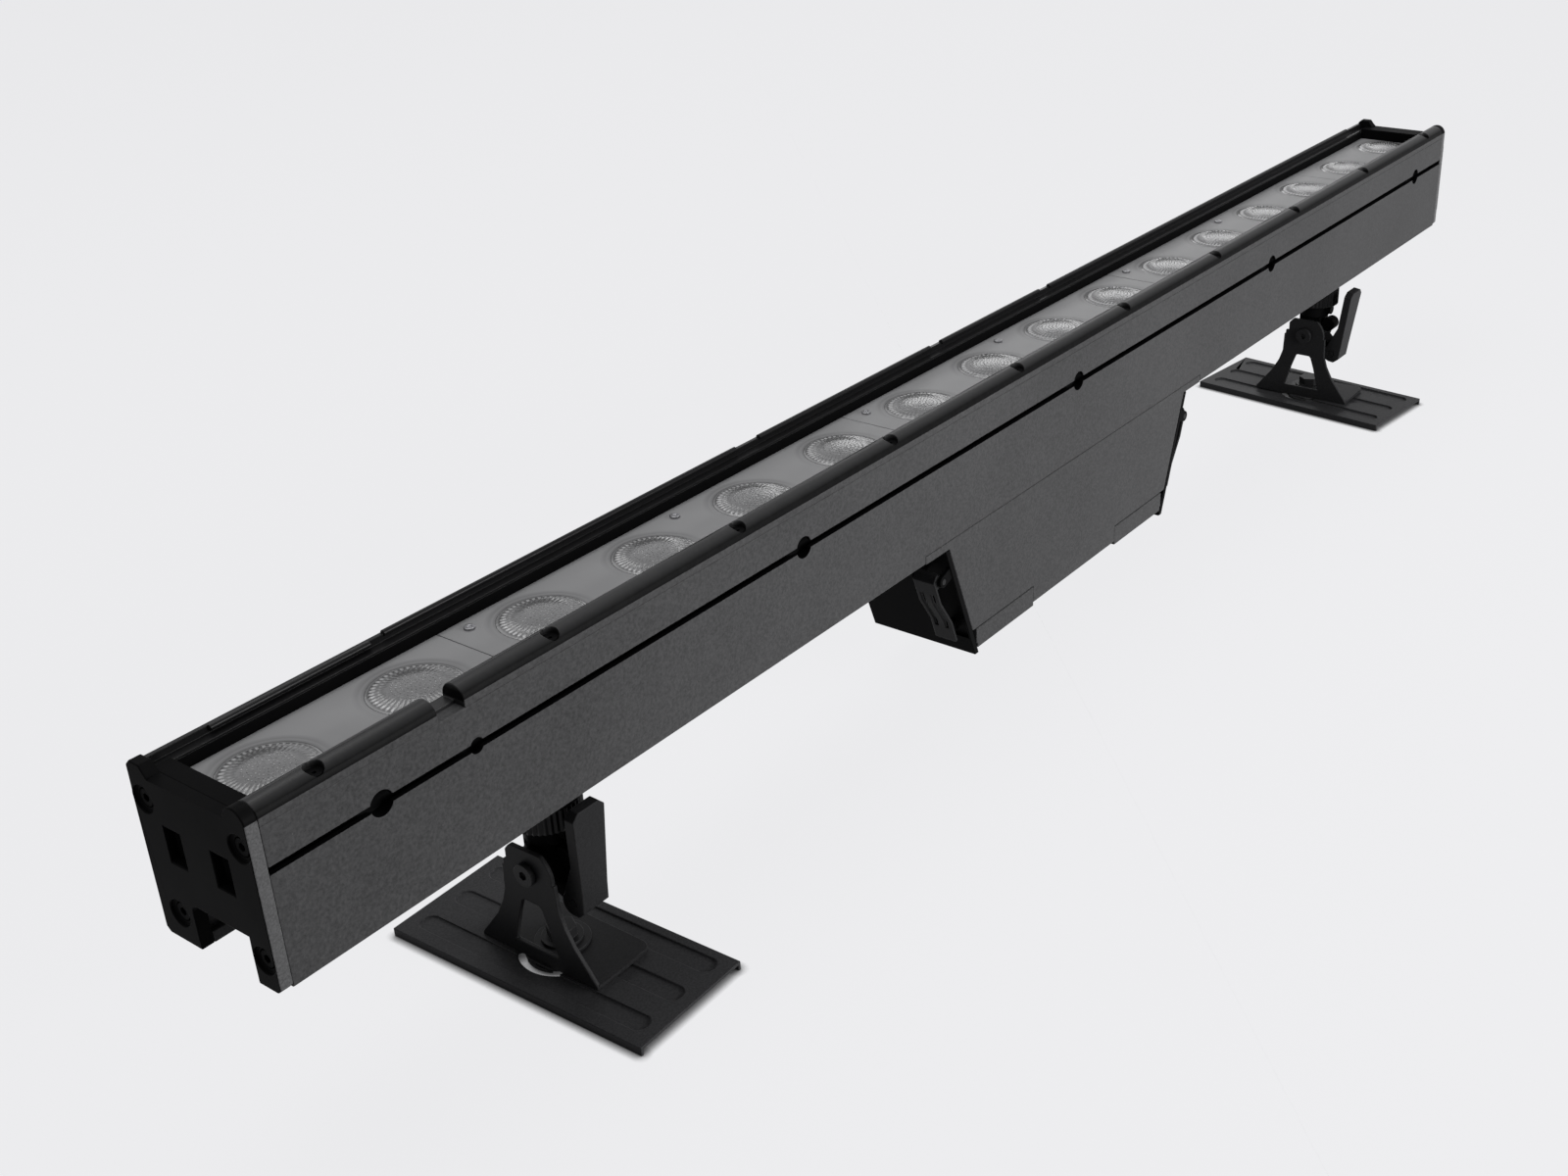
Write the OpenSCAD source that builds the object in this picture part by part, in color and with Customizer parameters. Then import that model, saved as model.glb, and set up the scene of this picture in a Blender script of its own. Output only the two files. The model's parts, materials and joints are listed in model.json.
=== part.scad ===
// Outdoor wall washer light: a one metre lens bar on two tilting floor brackets
// X runs along the bar, Y from the front to the back, Z up from the floor

/* [Bar] */
// Distance from one lens to the next
lens_pitch = 62.5; // [52:0.5:75]
// Depth of the bar from its front face to its back face
bar_depth = 61; // [59:0.5:75]
// Distance of the middle of the bar behind the middle of the brackets
bar_offset = 4; // [2:0.5:6]
// Height of the underside of the bar above the floor
bar_bottom = 87.5; // [86:0.5:100]
// Height of the side faces of the bar
side_height = 62; // [60:0.5:75]
// Radius of a lens
lens_radius = 16.7; // [12:0.1:17]
// Thickness of an end cap
cap_thickness = 5; // [4.5:0.5:8]

/* [Rails] */
// Width of the front rail
near_rail_width = 11.1; // [9:0.1:11.4]
// Height of the front rail at its crown
near_rail_height = 7.7; // [6:0.1:9]
// Width of the back rail
far_rail_width = 5.8; // [5:0.1:6.2]
// Height of the back rail
far_rail_height = 5.1; // [4:0.1:7]
// Number of screws along the front rail
rail_screw_count = 10; // [4:1:16]

/* [Power box] */
// Half length of the power box where it meets the bar
box_top_half = 121; // [112:1:130]
// Half length of the power box at its foot
box_foot_half = 96.5; // [88:0.5:105]
// Height of the foot of the power box above the floor
box_bottom = 21; // [18:0.5:30]
// Wall of the power box
box_wall = 2.5; // [2:0.1:3]
// Thickness of the sloping end plates
box_end_wall = 3.2; // [3:0.1:4]

/* [Brackets] */
// Height of the tilt axis above the floor
pivot_height = 47; // [45:0.5:52]
// Width of a base plate along the bar
base_width = 60; // [54:1:80]
// Length of a base plate across the bar
base_length = 134; // [110:1:150]
// Height of a base plate
base_height = 4; // [4:0.1:5]
// Thickness of the bent ear bracket
ear_sheet = 2; // [1.5:0.1:2.4]
// Length of the floor part of the ear bracket across the bar
ear_foot = 64; // [60:1:70]
// Radius of the thumb wheel
wheel_radius = 15; // [13:0.1:15.5]
// Length of the lever
lever_length = 44.5; // [40:0.5:45.5]
// Angle by which the left and the right lever lean out
lever_leans = [2.5, 8]; // [0:0.5:30]
// Angle by which the left and the right foot are turned on their yaw bolts
foot_turns = [1.5, -6]; // [-45:0.5:45]

/* [Hidden] */
$fn = 64;

// Overrun of every cut, and the clearances
over = 1;
running_fit = 0.05;
slip = 0.15;
seat_gap = 0.3;

// Lenses on each optic plate, from left to right
plate_lenses = [2, 4, 4, 4, 2];
function lenses_before(i) = i == 0 ? 0 : lenses_before(i - 1) + plate_lenses[i - 1];
lens_total = lenses_before(len(plate_lenses));
bar_length = lens_pitch * lens_total;
bar_half = bar_length / 2;
body_half = bar_half - cap_thickness;
function lens_x(k) = -bar_half + lens_pitch * (k + 0.5);

// Bar section
bar_near = bar_offset - bar_depth / 2;
bar_far = bar_offset + bar_depth / 2;
side_top = bar_bottom + side_height;
wall = 3;
edge_chamfer = 0.8;
rail_setback = 0.4;
window_near = bar_near + near_rail_width + rail_setback;
window_far = bar_far - far_rail_width;
window_drop = 4.5;
window_top = side_top - window_drop;
plate_thickness = 3;
gasket_thickness = 0.8;
plate_bottom = window_top - plate_thickness;
ledge_z = plate_bottom - gasket_thickness;
ledge_width = 3.5;
cavity_near = window_near + ledge_width;
cavity_far = window_far - ledge_width;
cavity_depth = 23.2;
cavity_floor = ledge_z - cavity_depth;
spreader_thickness = 4;
board_thickness = 1.6;
spreader_top = cavity_floor + spreader_thickness;
board_top = spreader_top + board_thickness;
end_block_length = 7.5;
window_half = body_half - end_block_length;

// Channel under the bar
channel_half = 15.1;
channel_inner_half = 17.9;
channel_lip = 4.5;
channel_inner_height = 8;
channel_depth = 18.5;
channel_crown = bar_bottom + channel_depth;
channel_inner_low = bar_bottom + channel_lip;
channel_inner_high = channel_inner_low + channel_inner_height;

// Slots in the side faces, with round entry holes
slot_drop = 16.5;
slot_z = side_top - slot_drop;
slot_mouth = 3;
slot_lip = 2;
slot_inner_height = 7;
slot_inner_depth = 3.5;
key_radius = 4.75;
key_shares = [-0.45, -0.225, 0, 0.225, 0.45];
small_key_radius = 3;
small_key_share = -0.408;

// Hollows of the extrusion
hollow_low = channel_crown + wall;
hollow_high = slot_z - slot_inner_height / 2 - wall;
far_hollow_low = channel_crown - 0.7 * wall;
core_high = cavity_floor - wall;

// Rails
rail_round = near_rail_width / 2;
near_rail_y = bar_near + rail_round;
near_rail_step = near_rail_height - rail_round;
near_rail_crown = side_top + near_rail_height;
rail_gap_low_share = -0.4225;
rail_gap_high_share = -0.4106;
rail_tab_height = 1.4;
relief_shares = [-0.4745, -0.1855, 0.051];
relief_lengths = [7, 13, 14];
relief_width = 1.6;
relief_depth = 1.8;
rail_screw_margin = 30;
rail_screw_y = near_rail_y - 1.5;
rail_screw_radius = 1.5;
rail_screw_length = 9;
rail_head_radius = 2.9;
rail_head_depth = 1.6;
rail_sink_radius = 3.4;
rail_seat_drop = 2.6;
function rail_screw_x(i) = -bar_half + rail_screw_margin
    + i * (bar_length - 2 * rail_screw_margin) / (rail_screw_count - 1);
far_wall = 1.7;
far_floor = 1;
bead_radius = 1.25;
bead_step = 0.9;
bead_low_shares = [[-0.47, -0.402]];
bead_shares = [[-0.395, -0.196], [-0.18, -0.045], [-0.035, 0.059], [0.069, 0.47]];

// End caps
cap_top = side_top + 2.2;
ear_far_width = 10.5;
ear_far_slope = 3;
ear_far_top = side_top + 6.3;
ear_far_chamfer = 2;
leg_chamfer = 2;
cap_screw_inset = 5.7;
cap_screw_far_inset = 11.1;
cap_screw_drop = 7.2;
cap_screw_rise = 11.7;
cap_screw_places = [
    [bar_far - cap_screw_inset, side_top - cap_screw_drop],
    [bar_near + cap_screw_inset, side_top - cap_screw_drop],
    [bar_far - cap_screw_far_inset, bar_bottom + cap_screw_rise],
    [bar_near + cap_screw_inset, bar_bottom + cap_screw_rise]
];
dish_radius = 5.2;
dish_depth = 1.2;
cap_bore_radius = 3.6;
cap_bore_depth = 3.4;
cap_head_radius = 3.3;
cap_head_height = 2.2;
cap_shank_radius = 1.5;
cap_hole_radius = 1.7;
cap_port_radius = 1.55;
cap_screw_length = 9;
cap_port_depth = 12;
pocket_width = 9;
pocket_height = 14;
pocket_depth = 4;
pocket_spacing = 25;
pocket_z = slot_z - 5;

// Lenses and their light sources
lens_gap = 0.15;
lens_rise = 2.1;
lens_rim_rise = 0.5;
lens_ring_width = 2.6;
lens_ring_drop = 0.6;
cone_top_radius = 12;
cone_foot_radius = 4.5;
emitter_size = 5;
emitter_height = 1.4;
cone_clearance = 0.6;
plate_seam = 0.4;
optic_screw_y = window_far - 7.2;
optic_screw_inset = 10;
optic_head_radius = 2.2;
optic_head_height = 1;
optic_shank_radius = 1.2;
optic_hole_radius = 1.35;
optic_screw_length = 8;
post_radius = 3;
post_clearance = 0.4;
board_gap = 0.5;

// Power box
box_slope = (box_top_half - box_foot_half) / (bar_bottom - box_bottom);
box_angle = atan(box_slope);
function box_half(z) = box_foot_half + (z - box_bottom) * box_slope;
function box_inner(z) = box_half(z) - box_end_wall;
function shell_reach(z) = box_inner(z) - slip;
flange_reach = 16;
flange_half = box_top_half + flange_reach;
flange_height = 4;
flange_gap = 0.3;
shell_bottom = box_bottom + 5;
lip_half = 42;
lip_height = 9;
lip_slot = 0.6;
tray_thickness = 2.5;
tray_z = box_bottom + 3;
tray_floor_top = tray_z + tray_thickness;
lip_top = tray_z + lip_height + 1.7;
end_edge_radius = 3;
end_top_gap = 0.3;

// Latches, on each end plate
latch_inset = 9;
latch_y = bar_near + latch_inset;
latch_width = 12;
latch_pin_drop = 14.5;
latch_head_rise = 4.4;
latch_belly_length = 12;
latch_shoulder_length = 28;
latch_reach = 41;
latch_sheet = 1.6;
latch_stand = 6;
latch_head_out = 7.6;
latch_belly_out = 11;
latch_tail_out = 7.4;
latch_eye_radius = 3;
latch_pin_radius = 1.5;
latch_lug = 2;
latch_lug_gap = 0.3;
latch_slot_width = 2;
latch_slot_spacing = 6;
latch_slot_low = 32;
latch_slot_high = 6;
latch_hook_height = 5;
latch_hook_width = 4;
pocket_margin = 4;
latch_recess_depth = 1.6;
hook_sheet = 1.4;
hook_length = 14;
hook_rise = 3;

// Cable gland
gland_margin = 1.2;
gland_drop = 12.5;
gland_radius = 7;
gland_nut_radius = 8.5;
gland_nut_length = 5;
gland_length = 13;
gland_bore_radius = 3.6;
gland_y = bar_far - gland_nut_radius - gland_margin;
gland_z = bar_bottom - gland_drop;
gland_seat = -box_half(gland_z);

// Driver board
driver_length = 140;
driver_width = 44;
driver_lift = 4;
driver_block_shares = [[-0.34, 26, 30, 22], [-0.08, 34, 34, 30], [0.2, 18, 26, 18], [0.37, 22, 30, 14]];

// Brackets
foot_share = 0.359;
foot_x = foot_share * bar_length;
ear_x = -13.5;
floor_end_x = 18;
floor_corner = 5;
floor_z = base_height + slip;
floor_top = floor_z + ear_sheet;
ear_shares = [[1, 0.03], [0.66, 0.36], [0.53, 0.54], [0.46, 0.7], [0.445, 0.98]];
ear_head_radius = 13.4;
ear_head_flat = 10.6;
ear_shoulder_y = 11.3;
ear_shoulder_z = 2;
window_shares = [[0.37, 0.1], [0.24, 0.44], [0.165, 0.6], [0.13, 0.625]];
pivot_radius = 3;
pivot_head_radius = 5;
pivot_head_height = 2.2;
pivot_socket_radius = 2;
pivot_socket_depth = 1.4;

base_sheet = 1.5;
groove_width = 9;
groove_depth = 1;
groove_inset = 6;
groove_places = [-19, 1, 21];
flange_sheet = 1.5;
base_boss_radius = 9;
base_boss_drop = 1.9;
arc_radius = 17;
arc_width = 3;
arc_half_angle = 38;

yaw_radius = 4;
yaw_head_radius = 6.4;
yaw_head_height = 4.5;
yaw_flange_radius = 8.6;
yaw_flange_height = 1.4;
washer_radius = 11.5;
washer_thickness = 1.5;
washer_z = floor_top + slip;
washer_top = washer_z + washer_thickness;

knuckle_near_x = ear_x + ear_sheet + seat_gap;
knuckle_far_x = 9.5;
barrel_radius = 9.5;
neck_half = 7;
collar_radius = 9.5;
collar_rise = 11.5;
collar_low = pivot_height + collar_rise;
wheel_rise = 19.7;
wheel_low = pivot_height + wheel_rise;
clamp_radius = 3.2;
clamp_out = 12.2;
clamp_z = wheel_low - clamp_radius - seat_gap;
lobe_radius = 4.4;
lobe_half = 4.5;
lobe_y = -11.6;
lobe_rise = 6.6;
wheel_band = 9.8;
wheel_high = wheel_low + wheel_band;
wheel_neck_radius = 9.5;
wheel_flange_radius = 18.2;
wheel_flange_height = 3;
wheel_top = bar_bottom - slip;
rib_count = 40;
rib_depth = 0.8;
draw_radius = 4;
nut_length = 34;
nut_height = 6;
nut_z = channel_inner_low + seat_gap;
nut_half = channel_inner_half - seat_gap;
draw_top = nut_z + nut_height;

lever_pin_y = -16.5;
lever_pin_drop = 12;
lever_pin_z = pivot_height - lever_pin_drop;
lever_pin_radius = 2;
lever_half = 7;
lever_top_half = 8.6;
lever_sheet = 1.6;
lever_back = -4.2;
lever_eye_radius = 5.5;
lever_corner = 3;
lever_depth_top = 3.2;
lever_flare_share = 0.42;
lug_half = lever_half - lever_sheet - seat_gap;
lug_radius = 3.7;

// Straight runs along the axes
module along_x(start, length) {
    translate([start, 0, 0]) rotate([90, 0, 90]) linear_extrude(height = length) children();
}
module along_y(start, length) {
    translate([0, start + length, 0]) rotate([90, 0, 0]) linear_extrude(height = length) children();
}
module round_x(radius, start, length, y, z, sides = 64) {
    translate([start, y, z]) rotate([0, 90, 0]) cylinder(r = radius, h = length, $fn = sides);
}
module round_y(radius, start, length, x, z) {
    translate([x, start + length, z]) rotate([90, 0, 0]) cylinder(r = radius, h = length);
}
module span(low, high) {
    translate(low) cube(high - low);
}
module span_2d(low, high) {
    translate(low) square(high - low);
}
module rounded_2d(low, high, radius) {
    span_2d([low[0] + radius, low[1]], [high[0] - radius, high[1]]);
    span_2d([low[0], low[1] + radius], [high[0], high[1] - radius]);
    for (x = [low[0] + radius, high[0] - radius], y = [low[1] + radius, high[1] - radius])
        translate([x, y]) circle(r = radius);
}
module obround_2d(width, length) {
    square([width, length - width], center = true);
    for (side = [-1, 1]) translate([0, side * (length - width) / 2]) circle(r = width / 2);
}
module both_sides() {
    children();
    mirror([1, 0, 0]) children();
}

// Bar housing
module side_slot_2d(face, inward) {
    inner = face + inward * slot_lip;
    far_end = inner + inward * slot_inner_depth;
    span_2d([min(face - inward * over, inner), slot_z - slot_mouth / 2],
            [max(face - inward * over, inner), slot_z + slot_mouth / 2]);
    span_2d([min(inner, far_end), slot_z - slot_inner_height / 2],
            [max(inner, far_end), slot_z + slot_inner_height / 2]);
}
module channel_2d() {
    span_2d([-channel_half, bar_bottom - over], [channel_half, channel_crown]);
    span_2d([-channel_inner_half, channel_inner_low], [channel_inner_half, channel_inner_high]);
}
module hollows_2d() {
    span_2d([bar_near + wall, hollow_low], [cavity_near - wall, hollow_high]);
    span_2d([cavity_near, hollow_low], [channel_inner_half - wall, core_high]);
    span_2d([channel_inner_half, far_hollow_low], [bar_far - wall, hollow_high - wall]);
}
module housing_2d() {
    difference() {
        polygon([
            [bar_near + edge_chamfer, bar_bottom], [bar_far - edge_chamfer, bar_bottom],
            [bar_far, bar_bottom + edge_chamfer], [bar_far, side_top],
            [bar_near, side_top], [bar_near, bar_bottom + edge_chamfer]
        ]);
        span_2d([window_near, ledge_z], [window_far, side_top + over]);
        span_2d([cavity_near, cavity_floor], [cavity_far, ledge_z + over]);
        side_slot_2d(bar_near, 1);
        side_slot_2d(bar_far, -1);
        channel_2d();
        hollows_2d();
    }
}
module housing() {
    key_depth = slot_lip + slot_inner_depth;
    color("#26272a") difference() {
        along_x(-body_half, 2 * body_half) housing_2d();
        for (share = key_shares) {
            round_y(key_radius, bar_near - over, key_depth + over, share * bar_length, slot_z);
            round_y(key_radius, bar_far - key_depth, key_depth + over, share * bar_length, slot_z);
        }
        round_y(small_key_radius, bar_near - over, key_depth + over, small_key_share * bar_length, slot_z);
        for (i = [0 : rail_screw_count - 1])
            translate([rail_screw_x(i), rail_screw_y, side_top - rail_screw_length])
                cylinder(r = rail_screw_radius, h = rail_screw_length + over);
        both_sides() for (place = cap_screw_places)
            round_x(cap_port_radius, body_half - cap_port_depth, cap_port_depth + over, place[0], place[1]);
        for (side = [[bar_near - over, bar_near + box_wall], [bar_far - box_wall, bar_far + over]])
            span([-flange_half - flange_gap, side[0], bar_bottom - over],
                 [flange_half + flange_gap, side[1], bar_bottom + flange_height + flange_gap]);
    }
}

// Front rail with its milled gap, reliefs and screw sinks
module near_rail_2d() {
    span_2d([bar_near, side_top], [bar_near + near_rail_width, side_top + near_rail_step]);
    intersection() {
        translate([near_rail_y, side_top + near_rail_step]) circle(r = rail_round);
        span_2d([bar_near, side_top], [bar_near + near_rail_width, near_rail_crown]);
    }
}
module near_rail() {
    inner = bar_near + near_rail_width;
    color("#1c1d1f") difference() {
        along_x(-body_half, 2 * body_half) near_rail_2d();
        span([rail_gap_low_share * bar_length, bar_near - over, side_top + rail_tab_height],
             [rail_gap_high_share * bar_length, inner + over, near_rail_crown + over]);
        span([rail_gap_low_share * bar_length, bar_near - over, side_top - over],
             [rail_gap_high_share * bar_length, near_rail_y, near_rail_crown + over]);
        for (i = [0 : len(relief_shares) - 1])
            translate([relief_shares[i] * bar_length, inner, side_top + near_rail_step + relief_depth])
                cube([relief_lengths[i], 2 * relief_width, 2 * relief_depth], center = true);
        for (i = [0 : rail_screw_count - 1]) translate([rail_screw_x(i), rail_screw_y, 0]) {
            translate([0, 0, side_top - over])
                cylinder(r = rail_screw_radius + slip, h = near_rail_height + 2 * over);
            translate([0, 0, near_rail_crown - rail_seat_drop])
                cylinder(r = rail_sink_radius, h = rail_seat_drop + over);
            translate([0, 0, near_rail_crown - rail_seat_drop - rail_head_depth])
                cylinder(r1 = rail_screw_radius + slip, r2 = rail_sink_radius, h = rail_head_depth);
        }
    }
}
module countersunk_screw(head_radius, head_depth, shank_radius, length) {
    difference() {
        union() {
            translate([0, 0, -head_depth]) cylinder(r1 = shank_radius, r2 = head_radius, h = head_depth);
            translate([0, 0, -length]) cylinder(r = shank_radius, h = length - head_depth / 2);
        }
        translate([0, 0, -head_depth / 2]) cylinder(r = shank_radius * 0.6, h = head_depth, $fn = 6);
    }
}
module rail_screws() {
    color("#141516") for (i = [0 : rail_screw_count - 1])
        translate([rail_screw_x(i), rail_screw_y, near_rail_crown - rail_seat_drop])
            countersunk_screw(rail_head_radius, rail_head_depth, rail_screw_radius - running_fit,
                              rail_screw_length + near_rail_height - rail_seat_drop - over);
}

// Back rail: a floor, an outer wall and a bead in lengths with round ends
module far_rail() {
    color("#1c1d1f") {
        along_x(-body_half, 2 * body_half) {
            span_2d([window_far, side_top], [bar_far, side_top + far_floor]);
            span_2d([bar_far - far_wall, side_top], [bar_far, side_top + far_rail_height - bead_radius]);
        }
        bead_lengths(bead_shares, 0);
        bead_lengths(bead_low_shares, bead_step);
    }
}
module bead_lengths(shares, step) {
    for (share = shares)
        round_x(bead_radius, share[0] * bar_length, (share[1] - share[0]) * bar_length,
                bar_far - bead_radius - step, side_top + far_rail_height - bead_radius - step);
}

// End caps with two ears, four dished screw seats and two pockets
module cap_2d() {
    difference() {
        union() {
            polygon([
                [bar_near + leg_chamfer, bar_bottom], [bar_far - leg_chamfer, bar_bottom],
                [bar_far, bar_bottom + leg_chamfer], [bar_far, ear_far_top - ear_far_chamfer],
                [bar_far - ear_far_chamfer, ear_far_top], [bar_far - ear_far_width + ear_far_slope, ear_far_top],
                [bar_far - ear_far_width, cap_top], [bar_near, cap_top], [bar_near, bar_bottom + leg_chamfer]
            ]);
            near_rail_2d();
        }
        channel_mouth_2d();
    }
}
module channel_mouth_2d() {
    span_2d([-channel_half, bar_bottom - over], [channel_half - wall, channel_crown]);
    span_2d([-channel_half, bar_bottom - over], [channel_half, channel_crown - wall]);
    translate([channel_half - wall, channel_crown - wall]) circle(r = wall);
}
module end_cap() {
    color("#131415") difference() {
        along_x(body_half, cap_thickness) cap_2d();
        for (place = cap_screw_places) {
            round_x(dish_radius, bar_half - dish_depth, dish_depth + over, place[0], place[1]);
            round_x(cap_bore_radius, bar_half - cap_bore_depth, cap_bore_depth + over, place[0], place[1]);
            round_x(cap_hole_radius, body_half - over, cap_thickness + over, place[0], place[1]);
        }
        for (side = [-1, 1])
            translate([bar_half - pocket_depth, bar_offset + side * pocket_spacing / 2 - pocket_width / 2,
                       pocket_z - pocket_height / 2])
                cube([pocket_depth + over, pocket_width, pocket_height]);
    }
}
module cap_screws() {
    seat = bar_half - cap_bore_depth;
    color("#3a3b3e") both_sides() for (place = cap_screw_places) difference() {
        union() {
            round_x(cap_head_radius, seat, cap_head_height, place[0], place[1]);
            round_x(cap_shank_radius, seat - cap_screw_length, cap_screw_length + over, place[0], place[1]);
        }
        round_x(cap_head_radius / 2, seat + cap_head_height / 3, cap_head_height, place[0], place[1], 6);
    }
}
module end_block() {
    color("#2e2f32") difference() {
        span([window_half, window_near, ledge_z], [body_half, window_far, cap_top]);
        for (place = cap_screw_places)
            round_x(cap_port_radius, window_half - over, end_block_length + 2 * over, place[0], place[1]);
    }
}

// Light engine
optic_screw_rows = [for (i = [1 : len(plate_lenses) - 2], place = [0, 1])
    -bar_half + lens_pitch * lenses_before(i)
    + (place == 0 ? optic_screw_inset : lens_pitch * plate_lenses[i] / 2)];
function plate_start(i) = i == 0 ? -window_half
    : -bar_half + lens_pitch * lenses_before(i) + plate_seam / 2;
function plate_end(i) = i == len(plate_lenses) - 1 ? window_half
    : -bar_half + lens_pitch * lenses_before(i + 1) - plate_seam / 2;
function first_lens(i) = lenses_before(i);
function last_lens(i) = lenses_before(i + 1) - 1;

module heat_spreader() {
    color("#a9abad") difference() {
        union() {
            span([-window_half, cavity_near + slip, cavity_floor], [window_half, cavity_far - slip, spreader_top]);
            for (x = optic_screw_rows) translate([x, optic_screw_y, cavity_floor])
                cylinder(r = post_radius, h = plate_bottom - cavity_floor);
        }
        for (x = optic_screw_rows) translate([x, optic_screw_y, plate_bottom - optic_screw_length])
            cylinder(r = optic_hole_radius, h = optic_screw_length + over);
    }
}
module light_board(i) {
    color("#f0f0ec") difference() {
        span([plate_start(i) + board_gap, cavity_near + board_gap, spreader_top],
             [plate_end(i) - board_gap, cavity_far - board_gap, board_top]);
        for (x = optic_screw_rows) translate([x, optic_screw_y, spreader_top - over])
            cylinder(r = post_radius + post_clearance, h = board_thickness + 2 * over);
    }
}
module light_emitters() {
    color("#e6d98a") for (k = [0 : lens_total - 1])
        translate([lens_x(k) - emitter_size / 2, bar_offset - emitter_size / 2, board_top])
            cube([emitter_size, emitter_size, emitter_height]);
}
module optic_plate(i) {
    color("#8e9092") difference() {
        span([plate_start(i), window_near + seat_gap, plate_bottom],
             [plate_end(i), window_far - seat_gap, window_top]);
        for (k = [first_lens(i) : last_lens(i)]) translate([lens_x(k), bar_offset, 0]) {
            translate([0, 0, plate_bottom - over])
                cylinder(r = lens_radius + lens_gap, h = plate_thickness + 2 * over);
            translate([0, 0, window_top - lens_ring_drop])
                cylinder(r = lens_radius + lens_ring_width / 2, h = lens_ring_drop + over);
        }
        for (x = optic_screw_rows) translate([x, optic_screw_y, plate_bottom - over])
            cylinder(r = optic_hole_radius, h = plate_thickness + 2 * over);
    }
}
module lens() {
    dome_sagitta = lens_rise - lens_rim_rise;
    dome_radius = (lens_radius * lens_radius + dome_sagitta * dome_sagitta) / (2 * dome_sagitta);
    cone_foot = board_top + emitter_height + cone_clearance;
    translate([0, 0, plate_bottom]) cylinder(r = lens_radius, h = plate_thickness + lens_rim_rise);
    intersection() {
        translate([0, 0, window_top + lens_rise - dome_radius]) sphere(r = dome_radius, $fn = 128);
        translate([0, 0, window_top]) cylinder(r = lens_radius, h = 2 * lens_rise);
    }
    translate([0, 0, cone_foot])
        cylinder(r1 = cone_foot_radius, r2 = cone_top_radius, h = plate_bottom - cone_foot);
}
module lens_set(i) {
    color("#b9bbbd") for (k = [first_lens(i) : last_lens(i)]) translate([lens_x(k), bar_offset, 0]) lens();
}
module window_gasket() {
    color("#101010") translate([0, 0, ledge_z]) linear_extrude(height = gasket_thickness) difference() {
        span_2d([-window_half, window_near + seat_gap], [window_half, window_far - seat_gap]);
        span_2d([-window_half + ledge_width, cavity_near], [window_half - ledge_width, cavity_far]);
    }
}
module optic_screws() {
    color("#55575a") for (x = optic_screw_rows) translate([x, optic_screw_y, window_top]) difference() {
        union() {
            cylinder(r = optic_head_radius, h = optic_head_height);
            translate([0, 0, over - optic_screw_length]) cylinder(r = optic_shank_radius, h = optic_screw_length);
        }
        translate([0, 0, optic_head_height / 2]) cylinder(r = optic_head_radius / 2, h = optic_head_height, $fn = 6);
    }
}

// Power box: flanged shell, tray, sloping ends
module shell_side_2d() {
    difference() {
        union() {
            polygon([
                [-shell_reach(shell_bottom), shell_bottom], [shell_reach(shell_bottom), shell_bottom],
                [shell_reach(bar_bottom), bar_bottom], [-shell_reach(bar_bottom), bar_bottom]
            ]);
            span_2d([-flange_half, bar_bottom], [flange_half, bar_bottom + flange_height]);
        }
        for (side = [-1, 1]) translate([side * (lip_half + box_top_half), 0])
            span_2d([-box_top_half, box_bottom - over], [box_top_half, lip_top + lip_slot]);
    }
}
module box_shell() {
    half = shell_reach(bar_bottom - box_wall);
    color("#222326") {
        along_y(bar_near, box_wall) shell_side_2d();
        along_y(bar_far - box_wall, box_wall) shell_side_2d();
        span([-half, bar_near, bar_bottom - box_wall], [half, bar_far, bar_bottom]);
    }
}
module box_tray() {
    lip_outer = box_inner(tray_floor_top) - seat_gap;
    floor_half = box_inner(tray_z) - seat_gap;
    color("#1b1c1e") {
        difference() {
            span([-floor_half, bar_near, tray_z], [floor_half, bar_far, tray_floor_top]);
            for (y = [bar_near - over, bar_far - box_wall - slip])
                span([-lip_half, y, tray_z - over], [lip_half, y + box_wall + slip + over, tray_floor_top + over]);
        }
        both_sides() for (y = [bar_near, bar_far - box_wall])
            span([lip_half, y, tray_floor_top], [lip_outer, y + box_wall, lip_top]);
    }
}
module end_section_2d() {
    polygon([
        [box_inner(box_bottom), box_bottom], [box_half(box_bottom), box_bottom],
        [box_half(bar_bottom - end_top_gap), bar_bottom - end_top_gap],
        [box_inner(bar_bottom - end_top_gap), bar_bottom - end_top_gap]
    ]);
}
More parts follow.
